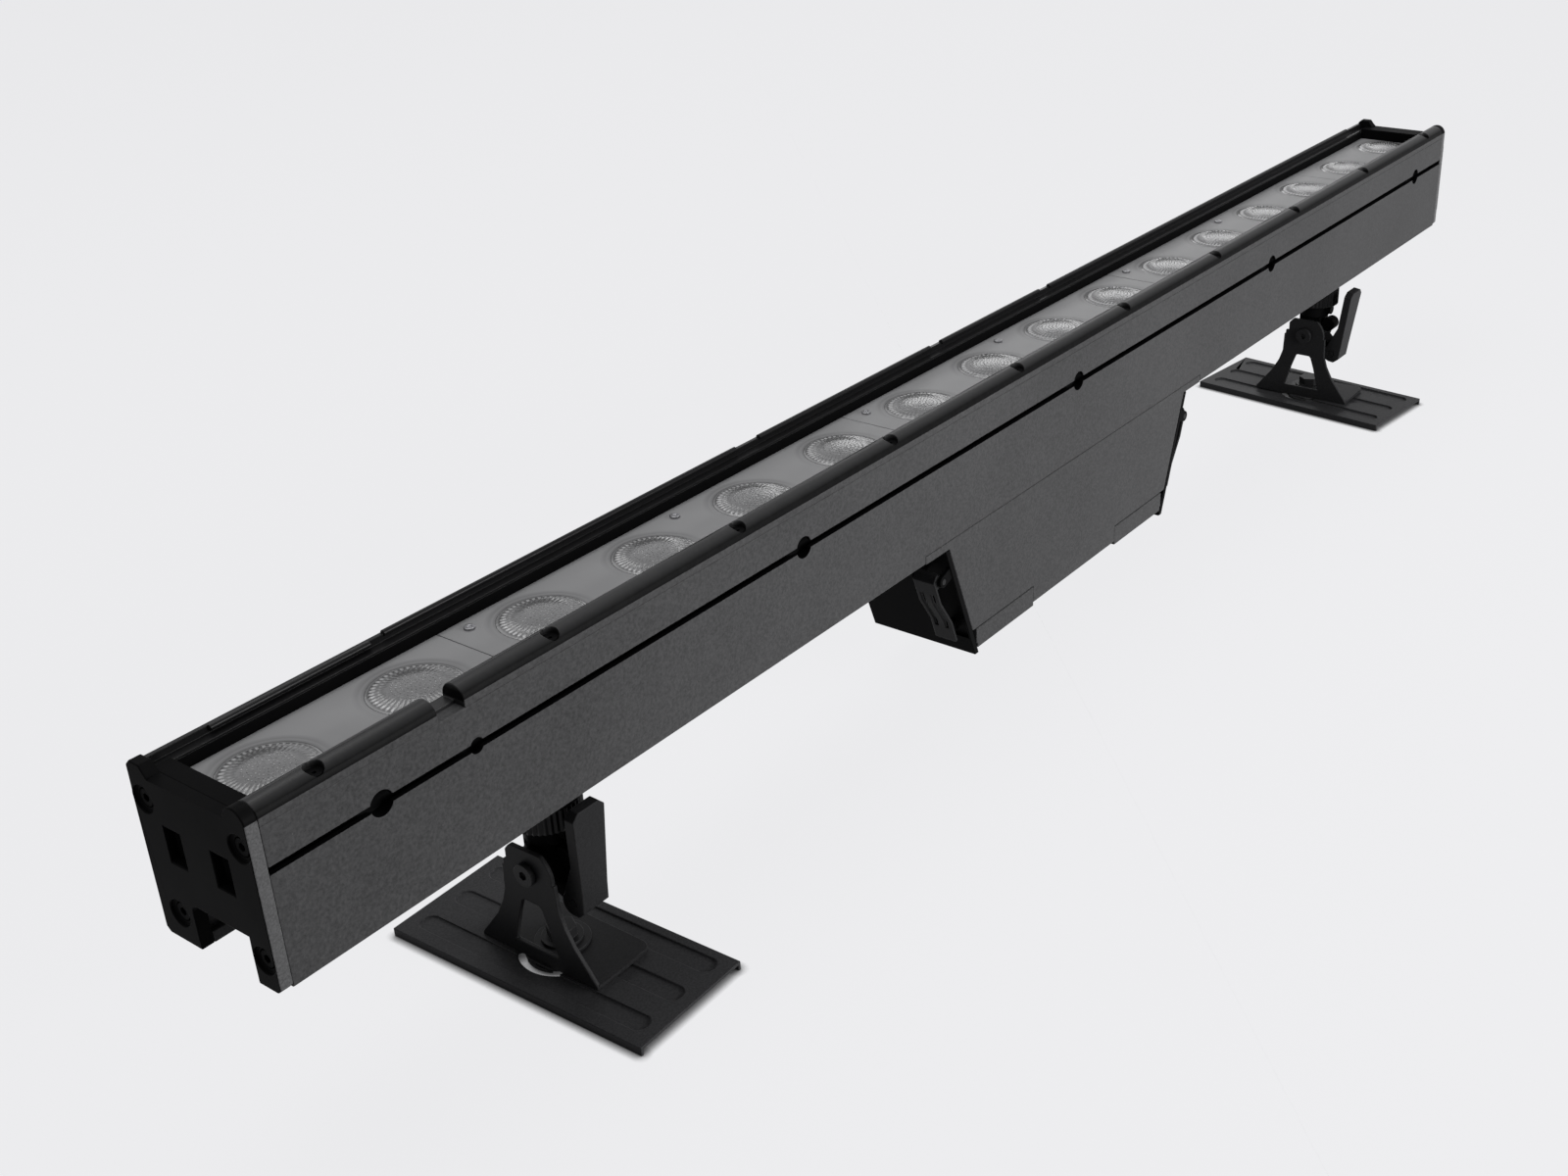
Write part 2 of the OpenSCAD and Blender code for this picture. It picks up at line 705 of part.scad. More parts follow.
// Frame on the sloping end: X out of the plate, Z up along it, origin at the top edge
module on_end() {
    translate([box_top_half, 0, bar_bottom]) rotate([0, box_angle, 0]) children();
}
module latch_lugs() {
    for (side = [-1, 1]) {
        y = latch_y + side * (latch_width / 2 + latch_lug_gap + latch_lug / 2) - latch_lug / 2;
        difference() {
            union() {
                round_y(latch_eye_radius, y, latch_lug, latch_stand, -latch_pin_drop);
                span([-over / 2, y, -latch_pin_drop - latch_eye_radius],
                     [latch_stand, y + latch_lug, -latch_pin_drop + latch_eye_radius]);
            }
            round_y(latch_pin_radius + running_fit, y - over, latch_lug + 2 * over, latch_stand, -latch_pin_drop);
        }
    }
}
module box_end() {
    recess_low = latch_y - latch_width / 2 - pocket_margin + latch_lug;
    recess_high = latch_y + latch_width / 2 + pocket_margin;
    catch_z = -latch_pin_drop - latch_reach;
    color("#18191a") {
        difference() {
            along_y(bar_near, bar_depth) end_section_2d();
            on_end() span([-latch_recess_depth, recess_low, -latch_pin_drop - latch_reach - pocket_margin],
                          [over, recess_high, -latch_pin_drop - latch_eye_radius - over]);
        }
        on_end() {
            latch_lugs();
            span([-latch_recess_depth - slip, latch_y - latch_hook_width / 2, catch_z],
                 [latch_tail_out - latch_sheet - seat_gap, latch_y + latch_hook_width / 2, catch_z + latch_hook_height]);
            span([-latch_recess_depth - slip, recess_high, catch_z + latch_hook_height],
                 [hook_rise, recess_high + hook_sheet, catch_z + latch_hook_height + hook_length]);
        }
    }
}
// Bent strap seen along Y: out from the plate, and up along it from the pin
module latch_strap_2d() {
    reach = [[latch_head_out, latch_head_rise], [latch_belly_out, latch_head_rise / 2],
             [latch_belly_out, -latch_belly_length], [latch_tail_out, -latch_shoulder_length],
             [latch_tail_out, -latch_reach]];
    polygon(concat(reach, [for (i = [len(reach) - 1 : -1 : 0]) [reach[i][0] - latch_sheet, reach[i][1]]]));
}
module latch_arm() {
    near = latch_y - latch_width / 2;
    difference() {
        translate([0, 0, -latch_pin_drop]) {
            along_y(near, latch_width) latch_strap_2d();
            span([latch_stand, near, -latch_eye_radius],
                 [latch_belly_out - latch_sheet / 2, near + latch_width, latch_eye_radius / 2]);
            round_y(latch_eye_radius, near, latch_width, latch_stand, 0);
        }
        round_y(latch_pin_radius + running_fit, near - over, latch_width + 2 * over, latch_stand, -latch_pin_drop);
        for (side = [-1, 1]) translate([0, latch_y + side * latch_slot_spacing / 2, -latch_pin_drop])
            span([latch_tail_out - latch_sheet - over, -latch_slot_width / 2, -latch_slot_low],
                 [latch_belly_out + over, latch_slot_width / 2, -latch_slot_high]);
    }
}
module latch() {
    color("#2b2c2f") on_end() latch_arm();
}
module latch_pins() {
    reach = latch_width / 2 + latch_lug_gap + latch_lug;
    color("#8b8d90") both_sides() on_end()
        round_y(latch_pin_radius, latch_y - reach, 2 * reach, latch_stand, -latch_pin_drop);
}
module cable_gland() {
    // lies along the bar, cut to the slope of the plate that it seats on
    nut_out = gland_nut_radius * box_slope + gland_nut_length;
    end_x = gland_seat - gland_nut_radius * box_slope - gland_length;
    color("#161617") difference() {
        union() {
            round_x(gland_radius, end_x, gland_seat - end_x + gland_nut_radius, gland_y, gland_z);
            round_x(gland_nut_radius, gland_seat - nut_out, nut_out + gland_nut_radius, gland_y, gland_z, 6);
        }
        mirror([1, 0, 0]) on_end()
            span([-2 * gland_length, bar_near, box_bottom - bar_bottom], [0, bar_far + over, bar_bottom - box_bottom]);
        round_x(gland_bore_radius, end_x - over, gland_length + over, gland_y, gland_z);
    }
}
module driver_board() {
    low = tray_floor_top + driver_lift;
    color("#2f5d3a") {
        span([-driver_length / 2, bar_offset - driver_width / 2, low],
             [driver_length / 2, bar_offset + driver_width / 2, low + board_thickness]);
        for (x = [-0.45, 0.45], y = [-0.42, 0.42])
            translate([x * driver_length, bar_offset + y * driver_width, tray_floor_top])
                cylinder(r = driver_lift / 2, h = driver_lift);
        for (block = driver_block_shares)
            translate([block[0] * driver_length - block[1] / 2, bar_offset - block[2] / 2, low + board_thickness])
                cube([block[1], block[2], block[3]]);
    }
}

// Bracket pieces, each made about its own yaw axis
module slide_nut() {
    color("#7c7e81") difference() {
        span([-nut_length / 2, -nut_half, nut_z], [nut_length / 2, nut_half, nut_z + nut_height]);
        translate([0, 0, nut_z - over]) cylinder(r = draw_radius + running_fit, h = nut_height + 2 * over);
    }
}
module draw_bolt() {
    color("#6d6f72") translate([0, 0, collar_low - neck_half / 2])
        cylinder(r = draw_radius, h = draw_top - collar_low + neck_half / 2);
}
module rib_ring_2d() {
    polygon([for (i = [0 : 2 * rib_count - 1])
        let (r = i % 2 == 0 ? wheel_radius : wheel_radius - rib_depth, a = 180 * i / rib_count)
        [r * cos(a), r * sin(a)]]);
}
module thumb_wheel() {
    color("#1a1b1c") difference() {
        union() {
            translate([0, 0, wheel_low]) linear_extrude(height = wheel_band) rib_ring_2d();
            translate([0, 0, wheel_low]) cylinder(r = wheel_neck_radius, h = wheel_top - wheel_low);
            translate([0, 0, wheel_top - wheel_flange_height])
                cylinder(r = wheel_flange_radius, h = wheel_flange_height);
        }
        translate([0, 0, wheel_low - over]) cylinder(r = draw_radius + running_fit, h = wheel_top - wheel_low + 2 * over);
    }
}
module knuckle() {
    head_space = pivot_radius + running_fit;
    color("#17181a") difference() {
        union() {
            round_x(barrel_radius, knuckle_near_x, knuckle_far_x - knuckle_near_x, 0, pivot_height);
            span([-neck_half, -neck_half, pivot_height], [neck_half, neck_half, collar_low + over]);
            translate([0, 0, collar_low]) cylinder(r = collar_radius, h = wheel_low - slip - collar_low);
            round_y(clamp_radius, -clamp_out, clamp_out, 0, clamp_z);
            round_x(lobe_radius, -lobe_half, 2 * lobe_half, lobe_y, pivot_height + lobe_rise);
            round_x(lug_radius, -lug_half, 2 * lug_half, lever_pin_y, lever_pin_z);
            lever_lug();
        }
        round_x(head_space, knuckle_near_x - over, knuckle_far_x - knuckle_near_x + 2 * over, 0, pivot_height);
        round_x(lever_pin_radius + running_fit, -lug_half - over, 2 * lug_half + 2 * over, lever_pin_y, lever_pin_z);
        translate([0, 0, collar_low - neck_half / 2])
            cylinder(r = draw_radius + running_fit, h = wheel_low - collar_low + neck_half);
    }
}
module lever_lug() {
    along_x(-lug_half, 2 * lug_half) polygon([
        [0, pivot_height - barrel_radius + over], [-barrel_radius + over, pivot_height],
        [lever_pin_y - lug_radius, lever_pin_z], [lever_pin_y, lever_pin_z - lug_radius]
    ]);
}
module lever_pin() {
    color("#6d6f72") round_x(lever_pin_radius, -lever_half, 2 * lever_half, lever_pin_y, lever_pin_z);
}
module lever_side_2d() {
    // profile of a flange, seen along the bar, with the pin at the origin
    outer = lever_back - lever_sheet;
    front = lever_back + lever_depth_top;
    circle(r = lever_eye_radius);
    polygon([
        [outer, lever_corner - lever_eye_radius], [outer + lever_corner, -lever_eye_radius], [0, -lever_eye_radius],
        [lever_eye_radius, 0], [front, lever_length * lever_flare_share], [front, lever_length], [outer, lever_length]
    ]);
}
module lever_face_2d(inset) {
    // outline of the face, seen from the front, wider at the top
    low = lever_half - inset;
    high = lever_top_half - inset;
    top = lever_length - inset;
    polygon([
        [-low, -lever_eye_radius - over], [low, -lever_eye_radius - over], [low, lever_eye_radius],
        [high, top - lever_corner], [high - lever_corner, top], [lever_corner - high, top],
        [-high, top - lever_corner], [-low, lever_eye_radius]
    ]);
}
module lever(lean) {
    depth = lever_eye_radius - lever_back + lever_sheet;
    color("#2c2d30") translate([0, lever_pin_y, lever_pin_z]) rotate([lean, 0, 0]) difference() {
        intersection() {
            along_x(-lever_top_half, 2 * lever_top_half) lever_side_2d();
            along_y(lever_back - lever_sheet - over, depth + 2 * over) lever_face_2d(0);
        }
        along_y(lever_back, depth) lever_face_2d(lever_sheet);
        round_x(lever_pin_radius + running_fit, -lever_half - over, 2 * lever_half + 2 * over, 0, 0);
    }
}
module ear_2d() {
    half = ear_foot / 2;
    rise = pivot_height - floor_z;
    function ear_points(side) = [for (share = ear_shares) [side * share[0] * half, floor_z + share[1] * rise]];
    difference() {
        union() {
            polygon(concat(
                [[-half, floor_z], [half, floor_z]], ear_points(1),
                [for (i = [len(ear_shares) - 1 : -1 : 0]) ear_points(-1)[i]]));
            intersection() {
                translate([0, pivot_height]) circle(r = ear_head_radius);
                span_2d([-half, pivot_height - over], [half, pivot_height + ear_head_flat]);
            }
        }
        span_2d([ear_shoulder_y, pivot_height + ear_shoulder_z], [half, pivot_height + 2 * ear_head_radius]);
        polygon(concat(
            [for (share = window_shares) [share[0] * half, floor_top + share[1] * rise]],
            [for (i = [len(window_shares) - 1 : -1 : 0])
                [-window_shares[i][0] * half, floor_top + window_shares[i][1] * rise]]));
        translate([0, pivot_height]) circle(r = pivot_radius + running_fit);
    }
}
module ear_bracket() {
    half = ear_foot / 2;
    color("#2a2b2e") {
        along_x(ear_x, ear_sheet) ear_2d();
        translate([0, 0, floor_z]) linear_extrude(height = ear_sheet) difference() {
            union() {
                rounded_2d([0, -half], [floor_end_x, half], floor_corner);
                span_2d([ear_x + ear_sheet / 2, -half], [floor_end_x - floor_corner, half]);
            }
            circle(r = yaw_radius + running_fit);
        }
    }
}
module pivot_bolt() {
    head_x = ear_x - slip - pivot_head_height;
    color("#3a3b3e") difference() {
        union() {
            round_x(pivot_head_radius, head_x, pivot_head_height, 0, pivot_height);
            round_x(pivot_radius, head_x, knuckle_far_x - head_x, 0, pivot_height);
        }
        round_x(pivot_socket_radius, head_x - over, pivot_socket_depth + over, 0, pivot_height, 6);
    }
}
module yaw_bolt() {
    color("#5b5d60") {
        translate([0, 0, base_height - base_sheet - base_boss_drop])
            cylinder(r = yaw_radius, h = washer_top - base_height + base_sheet + base_boss_drop + over);
        translate([0, 0, washer_top]) cylinder(r = yaw_flange_radius, h = yaw_flange_height);
        translate([0, 0, washer_top]) cylinder(r = yaw_head_radius, h = yaw_head_height + yaw_flange_height, $fn = 6);
    }
}
module yaw_washer() {
    color("#77797c") translate([0, 0, washer_z]) difference() {
        cylinder(r = washer_radius, h = washer_thickness);
        translate([0, 0, -over]) cylinder(r = yaw_radius + running_fit, h = washer_thickness + 2 * over);
    }
}
module arc_slot_2d() {
    reach = arc_radius + arc_width;
    intersection() {
        difference() {
            circle(r = arc_radius + arc_width / 2);
            circle(r = arc_radius - arc_width / 2);
        }
        polygon([[0, 0], [-2 * reach, -2 * reach * tan(arc_half_angle)], [-2 * reach, 2 * reach * tan(arc_half_angle)]]);
    }
    for (side = [-1, 1])
        translate([-arc_radius * cos(arc_half_angle), side * arc_radius * sin(arc_half_angle)])
            circle(r = arc_width / 2);
}
module base_plate() {
    half_x = base_width / 2;
    half_y = base_length / 2;
    sheet_low = base_height - base_sheet;
    groove_length = base_length - 2 * groove_inset;
    color("#2b2c2f") difference() {
        union() {
            difference() {
                span([-half_x, -half_y, sheet_low], [half_x, half_y, base_height]);
                for (x = groove_places) translate([x, 0, sheet_low - over])
                    linear_extrude(height = base_sheet + 2 * over) obround_2d(groove_width, groove_length);
            }
            for (x = groove_places) translate([x, 0, sheet_low - groove_depth])
                linear_extrude(height = base_sheet) obround_2d(groove_width + base_sheet, groove_length + base_sheet);
            for (x = [-half_x, half_x - flange_sheet])
                span([x, -half_y, 0], [x + flange_sheet, half_y, base_height]);
            translate([0, 0, sheet_low - base_boss_drop])
                cylinder(r = base_boss_radius, h = base_boss_drop + base_sheet);
        }
        translate([0, 0, -over]) cylinder(r = yaw_radius + running_fit, h = base_height + 2 * over);
        translate([0, 0, -over]) linear_extrude(height = base_height + 2 * over) arc_slot_2d();
    }
}
module left(turn = 0) {
    translate([-foot_x, 0, 0]) rotate([0, 0, turn]) children();
}
module right(turn = 0) {
    translate([foot_x, 0, 0]) rotate([0, 0, turn]) children();
}

housing();
near_rail();
far_rail();
mirror([1, 0, 0]) end_cap();  // end_cap_left
end_cap();  // end_cap_right
mirror([1, 0, 0]) end_block();  // end_block_left
end_block();  // end_block_right
heat_spreader();
light_board(0);  // light_board_1
light_board(1);  // light_board_2
light_board(2);  // light_board_3
light_board(3);  // light_board_4
light_board(4);  // light_board_5
light_emitters();
optic_plate(0);  // optic_plate_1
optic_plate(1);  // optic_plate_2
optic_plate(2);  // optic_plate_3
optic_plate(3);  // optic_plate_4
optic_plate(4);  // optic_plate_5
lens_set(0);  // lens_set_1
lens_set(1);  // lens_set_2
lens_set(2);  // lens_set_3
lens_set(3);  // lens_set_4
lens_set(4);  // lens_set_5
window_gasket();
rail_screws();
cap_screws();
optic_screws();
box_shell();
box_tray();
mirror([1, 0, 0]) box_end();  // box_end_left
box_end();  // box_end_right
driver_board();
mirror([1, 0, 0]) latch();  // latch_left
latch();  // latch_right
latch_pins();
cable_gland();
left() slide_nut();  // slide_nut_left
left() draw_bolt();  // draw_bolt_left
left() thumb_wheel();  // thumb_wheel_left
left() knuckle();  // knuckle_left
left() lever(lever_leans[0]);  // lever_left
left() lever_pin();  // lever_pin_left
left() ear_bracket();  // ear_bracket_left
left() pivot_bolt();  // pivot_bolt_left
left(foot_turns[0]) yaw_bolt();  // yaw_bolt_left
left(foot_turns[0]) yaw_washer();  // yaw_washer_left
left(foot_turns[0]) base_plate();  // base_plate_left
right() slide_nut();  // slide_nut_right
right() draw_bolt();  // draw_bolt_right
right() thumb_wheel();  // thumb_wheel_right
right() knuckle();  // knuckle_right
right() lever(lever_leans[1]);  // lever_right
right() lever_pin();  // lever_pin_right
right() ear_bracket();  // ear_bracket_right
right() pivot_bolt();  // pivot_bolt_right
right(foot_turns[1]) yaw_bolt();  // yaw_bolt_right
right(foot_turns[1]) yaw_washer();  // yaw_washer_right
right(foot_turns[1]) base_plate();  // base_plate_right
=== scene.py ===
"""Looks of the wall washer light, written as a Blender add-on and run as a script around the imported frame"""

import json
import math

import bmesh
import bpy
from mathutils import Matrix, Quaternion, Vector

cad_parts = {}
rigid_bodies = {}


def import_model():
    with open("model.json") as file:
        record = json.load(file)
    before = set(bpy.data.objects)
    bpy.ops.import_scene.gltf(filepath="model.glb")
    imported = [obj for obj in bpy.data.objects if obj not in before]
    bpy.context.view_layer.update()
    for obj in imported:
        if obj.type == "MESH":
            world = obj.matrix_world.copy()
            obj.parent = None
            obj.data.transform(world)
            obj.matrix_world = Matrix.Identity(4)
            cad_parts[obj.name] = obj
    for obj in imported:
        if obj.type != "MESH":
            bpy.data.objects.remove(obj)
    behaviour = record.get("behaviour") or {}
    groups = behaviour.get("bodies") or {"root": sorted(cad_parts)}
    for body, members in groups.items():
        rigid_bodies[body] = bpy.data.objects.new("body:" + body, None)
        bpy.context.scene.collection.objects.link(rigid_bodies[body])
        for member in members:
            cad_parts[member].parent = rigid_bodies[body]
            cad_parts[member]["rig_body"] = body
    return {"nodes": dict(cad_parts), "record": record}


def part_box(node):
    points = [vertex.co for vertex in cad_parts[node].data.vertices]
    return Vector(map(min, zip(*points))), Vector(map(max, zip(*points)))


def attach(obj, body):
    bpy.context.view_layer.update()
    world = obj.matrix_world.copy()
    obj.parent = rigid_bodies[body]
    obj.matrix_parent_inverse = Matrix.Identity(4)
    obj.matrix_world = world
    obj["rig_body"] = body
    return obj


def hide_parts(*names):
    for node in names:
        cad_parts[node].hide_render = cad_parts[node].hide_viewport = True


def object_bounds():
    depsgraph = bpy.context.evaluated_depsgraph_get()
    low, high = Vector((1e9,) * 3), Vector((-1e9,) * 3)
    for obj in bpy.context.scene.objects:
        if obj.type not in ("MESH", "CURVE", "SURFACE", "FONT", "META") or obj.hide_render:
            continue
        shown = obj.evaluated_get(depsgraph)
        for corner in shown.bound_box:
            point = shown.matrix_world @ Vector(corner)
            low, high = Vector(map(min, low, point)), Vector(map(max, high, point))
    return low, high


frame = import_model()

bl_info = {
    "name": "Wall Washer Light",
    "version": (1, 0, 0),
    "blender": (4, 5, 0),
    "location": "View3D > Sidebar > Wall Washer",
    "description": "Dresses a linear wall washer light and sets up its studio",
    "category": "Object",
}

MM = 0.001
CAD_LOW, CAD_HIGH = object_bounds()
SIDES = ("left", "right")
PLATE_NUMBERS = range(1, 6)

HOUSING_LOW, HOUSING_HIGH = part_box("housing")
CAP_LOW, CAP_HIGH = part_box("end_cap_left")
RAIL_LOW, RAIL_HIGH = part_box("near_rail")
PLATE_LOW, PLATE_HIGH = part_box("optic_plate_1")
LENS_LOW, LENS_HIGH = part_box("lens_set_1")

# The near rail is a flat strip with a half round dome on it
RAIL_ROUND = (RAIL_HIGH.y - RAIL_LOW.y) / 2
RAIL_DOME_FOOT = RAIL_HIGH.z - RAIL_ROUND

# The lenses stand at an even pitch, and the first plate carries two of them
LENS_RADIUS = (LENS_HIGH.y - LENS_LOW.y) / 2
LENS_MIDDLE_Y = (LENS_HIGH.y + LENS_LOW.y) / 2
LENS_PITCH = LENS_HIGH.x - LENS_LOW.x - 2 * LENS_RADIUS
LENS_FIRST_X = LENS_LOW.x + LENS_RADIUS
PLATE_TOP = PLATE_HIGH.z

# The studio camera, worked out from the straight edges of the bar
CAMERA_PLACE = Vector((-0.75066, -0.455682, 0.462458))
CAMERA_AIM = Vector((0.708318, 0.544003, -0.449829))
CAMERA_ROLL = math.radians(-2.36)
CAMERA_LENS_MM = 41.751
CAMERA_SHIFT = (-0.0446, -0.0104)


class WallWasherSizes(bpy.types.PropertyGroup):
    """Sizes that a user would change"""

    edge_round: bpy.props.FloatProperty(
        name="Edge rounding", description="Radius on the edges of the metal parts",
        default=0.35 * MM, min=0.05 * MM, max=1.5 * MM, subtype="DISTANCE", unit="LENGTH")
    casting_round: bpy.props.FloatProperty(
        name="Casting rounding", description="Radius on the edges of the end caps",
        default=0.5 * MM, min=0.1 * MM, max=0.8 * MM, subtype="DISTANCE", unit="LENGTH")
    groove_round: bpy.props.FloatProperty(
        name="Groove rounding", description="Radius on the edges of the stamped base plates",
        default=0.42 * MM, min=0.1 * MM, max=0.45 * MM, subtype="DISTANCE", unit="LENGTH")
    optic_round: bpy.props.FloatProperty(
        name="Optic rounding", description="Radius on the edges of the optic plates",
        default=0.2 * MM, min=0.05 * MM, max=1.0 * MM, subtype="DISTANCE", unit="LENGTH")
    flute_count: bpy.props.IntProperty(
        name="Flutes", description="Flutes round the rim of a lens", default=44, min=12, max=72)
    flute_depth: bpy.props.FloatProperty(
        name="Flute depth", description="Depth of a flute in the rim of a lens",
        default=0.45 * MM, min=0.1 * MM, max=0.8 * MM, subtype="DISTANCE", unit="LENGTH")
    dot_radius: bpy.props.FloatProperty(
        name="Dot radius", description="Radius of a raised dot on a lens",
        default=0.36 * MM, min=0.2 * MM, max=0.8 * MM, subtype="DISTANCE", unit="LENGTH")
    dot_rings: bpy.props.IntProperty(
        name="Dot rings", description="Rings of raised dots on a lens", default=5, min=1, max=8)


class WallWasherColours(bpy.types.PropertyGroup):
    """Colours that a user would change"""

    powder: bpy.props.FloatVectorProperty(
        name="Powder coat", description="Black powder coat of the bar and box",
        default=(0.058, 0.058, 0.0592), subtype="COLOR", min=0.0, max=1.0)
    casting: bpy.props.FloatVectorProperty(
        name="Castings", description="Black of the end caps and knuckles",
        default=(0.0045, 0.0045, 0.0047), subtype="COLOR", min=0.0, max=1.0)
    sheet: bpy.props.FloatVectorProperty(
        name="Bracket steel", description="Black of the bracket sheets",
        default=(0.034, 0.034, 0.0355), subtype="COLOR", min=0.0, max=1.0)
    frosted: bpy.props.FloatVectorProperty(
        name="Frosted optic", description="Grey of the optic plates",
        default=(0.3, 0.3, 0.305), subtype="COLOR", min=0.0, max=1.0)
    lens: bpy.props.FloatVectorProperty(
        name="Lens", description="Grey of the lenses",
        default=(0.17, 0.17, 0.172), subtype="COLOR", min=0.0, max=1.0)
    backdrop: bpy.props.FloatVectorProperty(
        name="Backdrop", description="Pale floor and background",
        default=(0.855, 0.855, 0.871), subtype="COLOR", min=0.0, max=1.0)


class Wire:
    """An output of a node, written in sums as if it were a number"""

    def __init__(self, graph, socket):
        self.graph = graph
        self.socket = socket

    def beside(self, name):
        """Another output of the same node"""
        return Wire(self.graph, self.socket.node.outputs[name])

    def __add__(self, other):
        return self.graph.maths("ADD", self, other)

    def __radd__(self, other):
        return self.graph.maths("ADD", other, self)

    def __sub__(self, other):
        return self.graph.maths("SUBTRACT", self, other)

    def __rsub__(self, other):
        return self.graph.maths("SUBTRACT", other, self)

    def __mul__(self, other):
        return self.graph.maths("MULTIPLY", self, other)

    def __rmul__(self, other):
        return self.graph.maths("MULTIPLY", other, self)


class Graph:
    """The nodes of a material or of the world"""

    def __init__(self, owner):
        self.owner = owner
        owner.use_nodes = True
        self.tree = owner.node_tree
        self.tree.nodes.clear()

    def node(self, kind, settings=None, values=None, output=0):
        """Make a node from its type, its settings and the values or links of its sockets"""
        made = self.tree.nodes.new(kind)
        for key, value in (settings or {}).items():
            if key == "stops":
                self.set_stops(made.color_ramp, value)
            else:
                setattr(made, key, value)
        for key, value in (values or {}).items():
            if isinstance(value, Wire):
                self.tree.links.new(value.socket, made.inputs[key])
            else:
                made.inputs[key].default_value = value
        return Wire(self, made.outputs[output])

    @staticmethod
    def set_stops(ramp, stops):
        while len(ramp.elements) < len(stops):
            ramp.elements.new(0.5)
        for element, (position, level) in zip(ramp.elements, stops):
            element.position = position
            element.color = (level, level, level, 1.0)

    def maths(self, operation, *values):
        return self.node("ShaderNodeMath", {"operation": operation}, dict(enumerate(values)))

    def seen_rays(self):
        """One for rays that come from the camera, straight, mirrored or through a part"""
        straight = self.node("ShaderNodeLightPath", output="Is Camera Ray")
        mirrored = self.maths("MAXIMUM", straight, straight.beside("Is Glossy Ray"))
        return self.maths("MAXIMUM", mirrored, straight.beside("Is Transmission Ray"))

    def mixed(self, factor, under, over):
        """One shader over another"""
        return self.node("ShaderNodeMixShader", None, {"Fac": factor, 1: under, 2: over})

    def close(self, kind, shader):
        """Lead a shader to an output node, and give back what the nodes belong to"""
        self.tree.links.new(shader.socket, self.tree.nodes.new(kind).inputs["Surface"])
        return self.owner


class Finish(Graph):
    """The nodes of one finish, with patterns laid out in a piece's own coordinates"""

    def __init__(self, name):
        super().__init__(bpy.data.materials.new(name))
        self.place = self.node("ShaderNodeTexCoord", output="Object")

    def noise(self, scale, detail=2.0, roughness=0.5, place=None):
        return self.node("ShaderNodeTexNoise", None, {
            "Vector": place or self.place, "Scale": scale, "Detail": detail, "Roughness": roughness})

    def cells(self, scale):
        """Distance from the middle of the nearest of many small cells"""
        return self.node("ShaderNodeTexVoronoi", None, {"Vector": self.place, "Scale": scale}, "Distance")

    def along(self, axis):
        """One of a point's three coordinates"""
        return self.node("ShaderNodeSeparateXYZ", None, {0: self.place}, axis)

    def ramp(self, factor, stops):
        return self.node("ShaderNodeValToRGB", {"stops": stops}, {"Fac": factor})

    def wave(self, angle):
        """Sine of an angle, brought between 0 and 1"""
        return self.maths("SINE", angle) * 0.5 + 0.5

    def tint(self, factor, under, over):
        """One colour over another, of which the lower may come from a node"""
        lower = under if isinstance(under, Wire) else (*under, 1.0)
        return self.node("ShaderNodeMix", {"data_type": "RGBA"},
                         {"Factor": factor, "A": lower, "B": (*over, 1.0)}, output=2)

    def bump(self, height, strength, distance):
        return self.node("ShaderNodeBump", None, {
            "Height": height, "Strength": strength, "Distance": distance})

    def round_lens(self):
        """Distance from the middle of the nearest lens, as a share of its radius, and the angle round it"""
        lengthwise = self.along("X")
        across = lengthwise.beside("Y") - LENS_MIDDLE_Y
        near = self.maths("WRAP", lengthwise - LENS_FIRST_X, 0.5 * LENS_PITCH, -0.5 * LENS_PITCH)
        share = self.maths("SQRT", near * near + across * across) * (1.0 / LENS_RADIUS)
        return share, self.maths("ARCTAN2", across, near)

    def surface(self, values):
        return self.close("ShaderNodeOutputMaterial", self.node("ShaderNodeBsdfPrincipled", None, values))


# Depths of the fine bump in the finishes
CAST_DEPTH = 0.06 * MM
BRUSHED_DEPTH = 0.03 * MM
RESIN_DEPTH = 0.04 * MM
LENS_CELL_DEPTH = 0.25 * MM

DUST_GREY = (0.35, 0.35, 0.35)
SHEET_GRAIN = 1200.0


def shade(colour, factor):
    """A colour made darker or lighter"""
    return tuple(min(1.0, channel * factor) for channel in colour)


def powder_coat(name, colour, roughness=0.5, grain=850.0, depth=0.12 * MM, dust=0.0, specular=0.07):
    """Textured black powder coat with a fine grain, a slow drift in tone and a little dust"""
    graph = Finish(name)
    fine = graph.noise(grain, 3.0, 0.65)
    drift = graph.noise(9.0, 3.0)
    tone = fine * 0.7 + drift * 0.3
    base = graph.tint(graph.ramp(tone, [(0.3, 0.0), (0.7, 1.0)]), shade(colour, 0.62), shade(colour, 1.42))
    if dust:
        specks = graph.ramp(graph.cells(260.0), [(0.02, 1.0), (0.05, 0.0)])
        sparse = graph.ramp(graph.noise(95.0, 1.0), [(0.62, 0.0), (0.66, 1.0)])
        base = graph.tint(specks * sparse * dust, base, DUST_GREY)
    return graph.surface({
        "Base Color": base, "Roughness": roughness + (fine - 0.5) * 0.25 + (drift - 0.5) * 0.08,
        "Normal": graph.bump(fine, 0.45, depth), "Specular IOR Level": specular})


def smooth_black(name, colour, roughness=0.42, specular=0.012):
    """Cast or moulded black with soft mottling"""
    graph = Finish(name)
    mottle = graph.noise(340.0, 4.0, 0.6)
    drift = graph.noise(30.0, 2.0)
    base = graph.tint(mottle * 0.6 + drift * 0.4, shade(colour, 0.7), shade(colour, 1.35))
    return graph.surface({
        "Base Color": base, "Roughness": roughness + (drift - 0.5) * 0.16,
        "Normal": graph.bump(mottle, 0.3, CAST_DEPTH), "Specular IOR Level": specular})


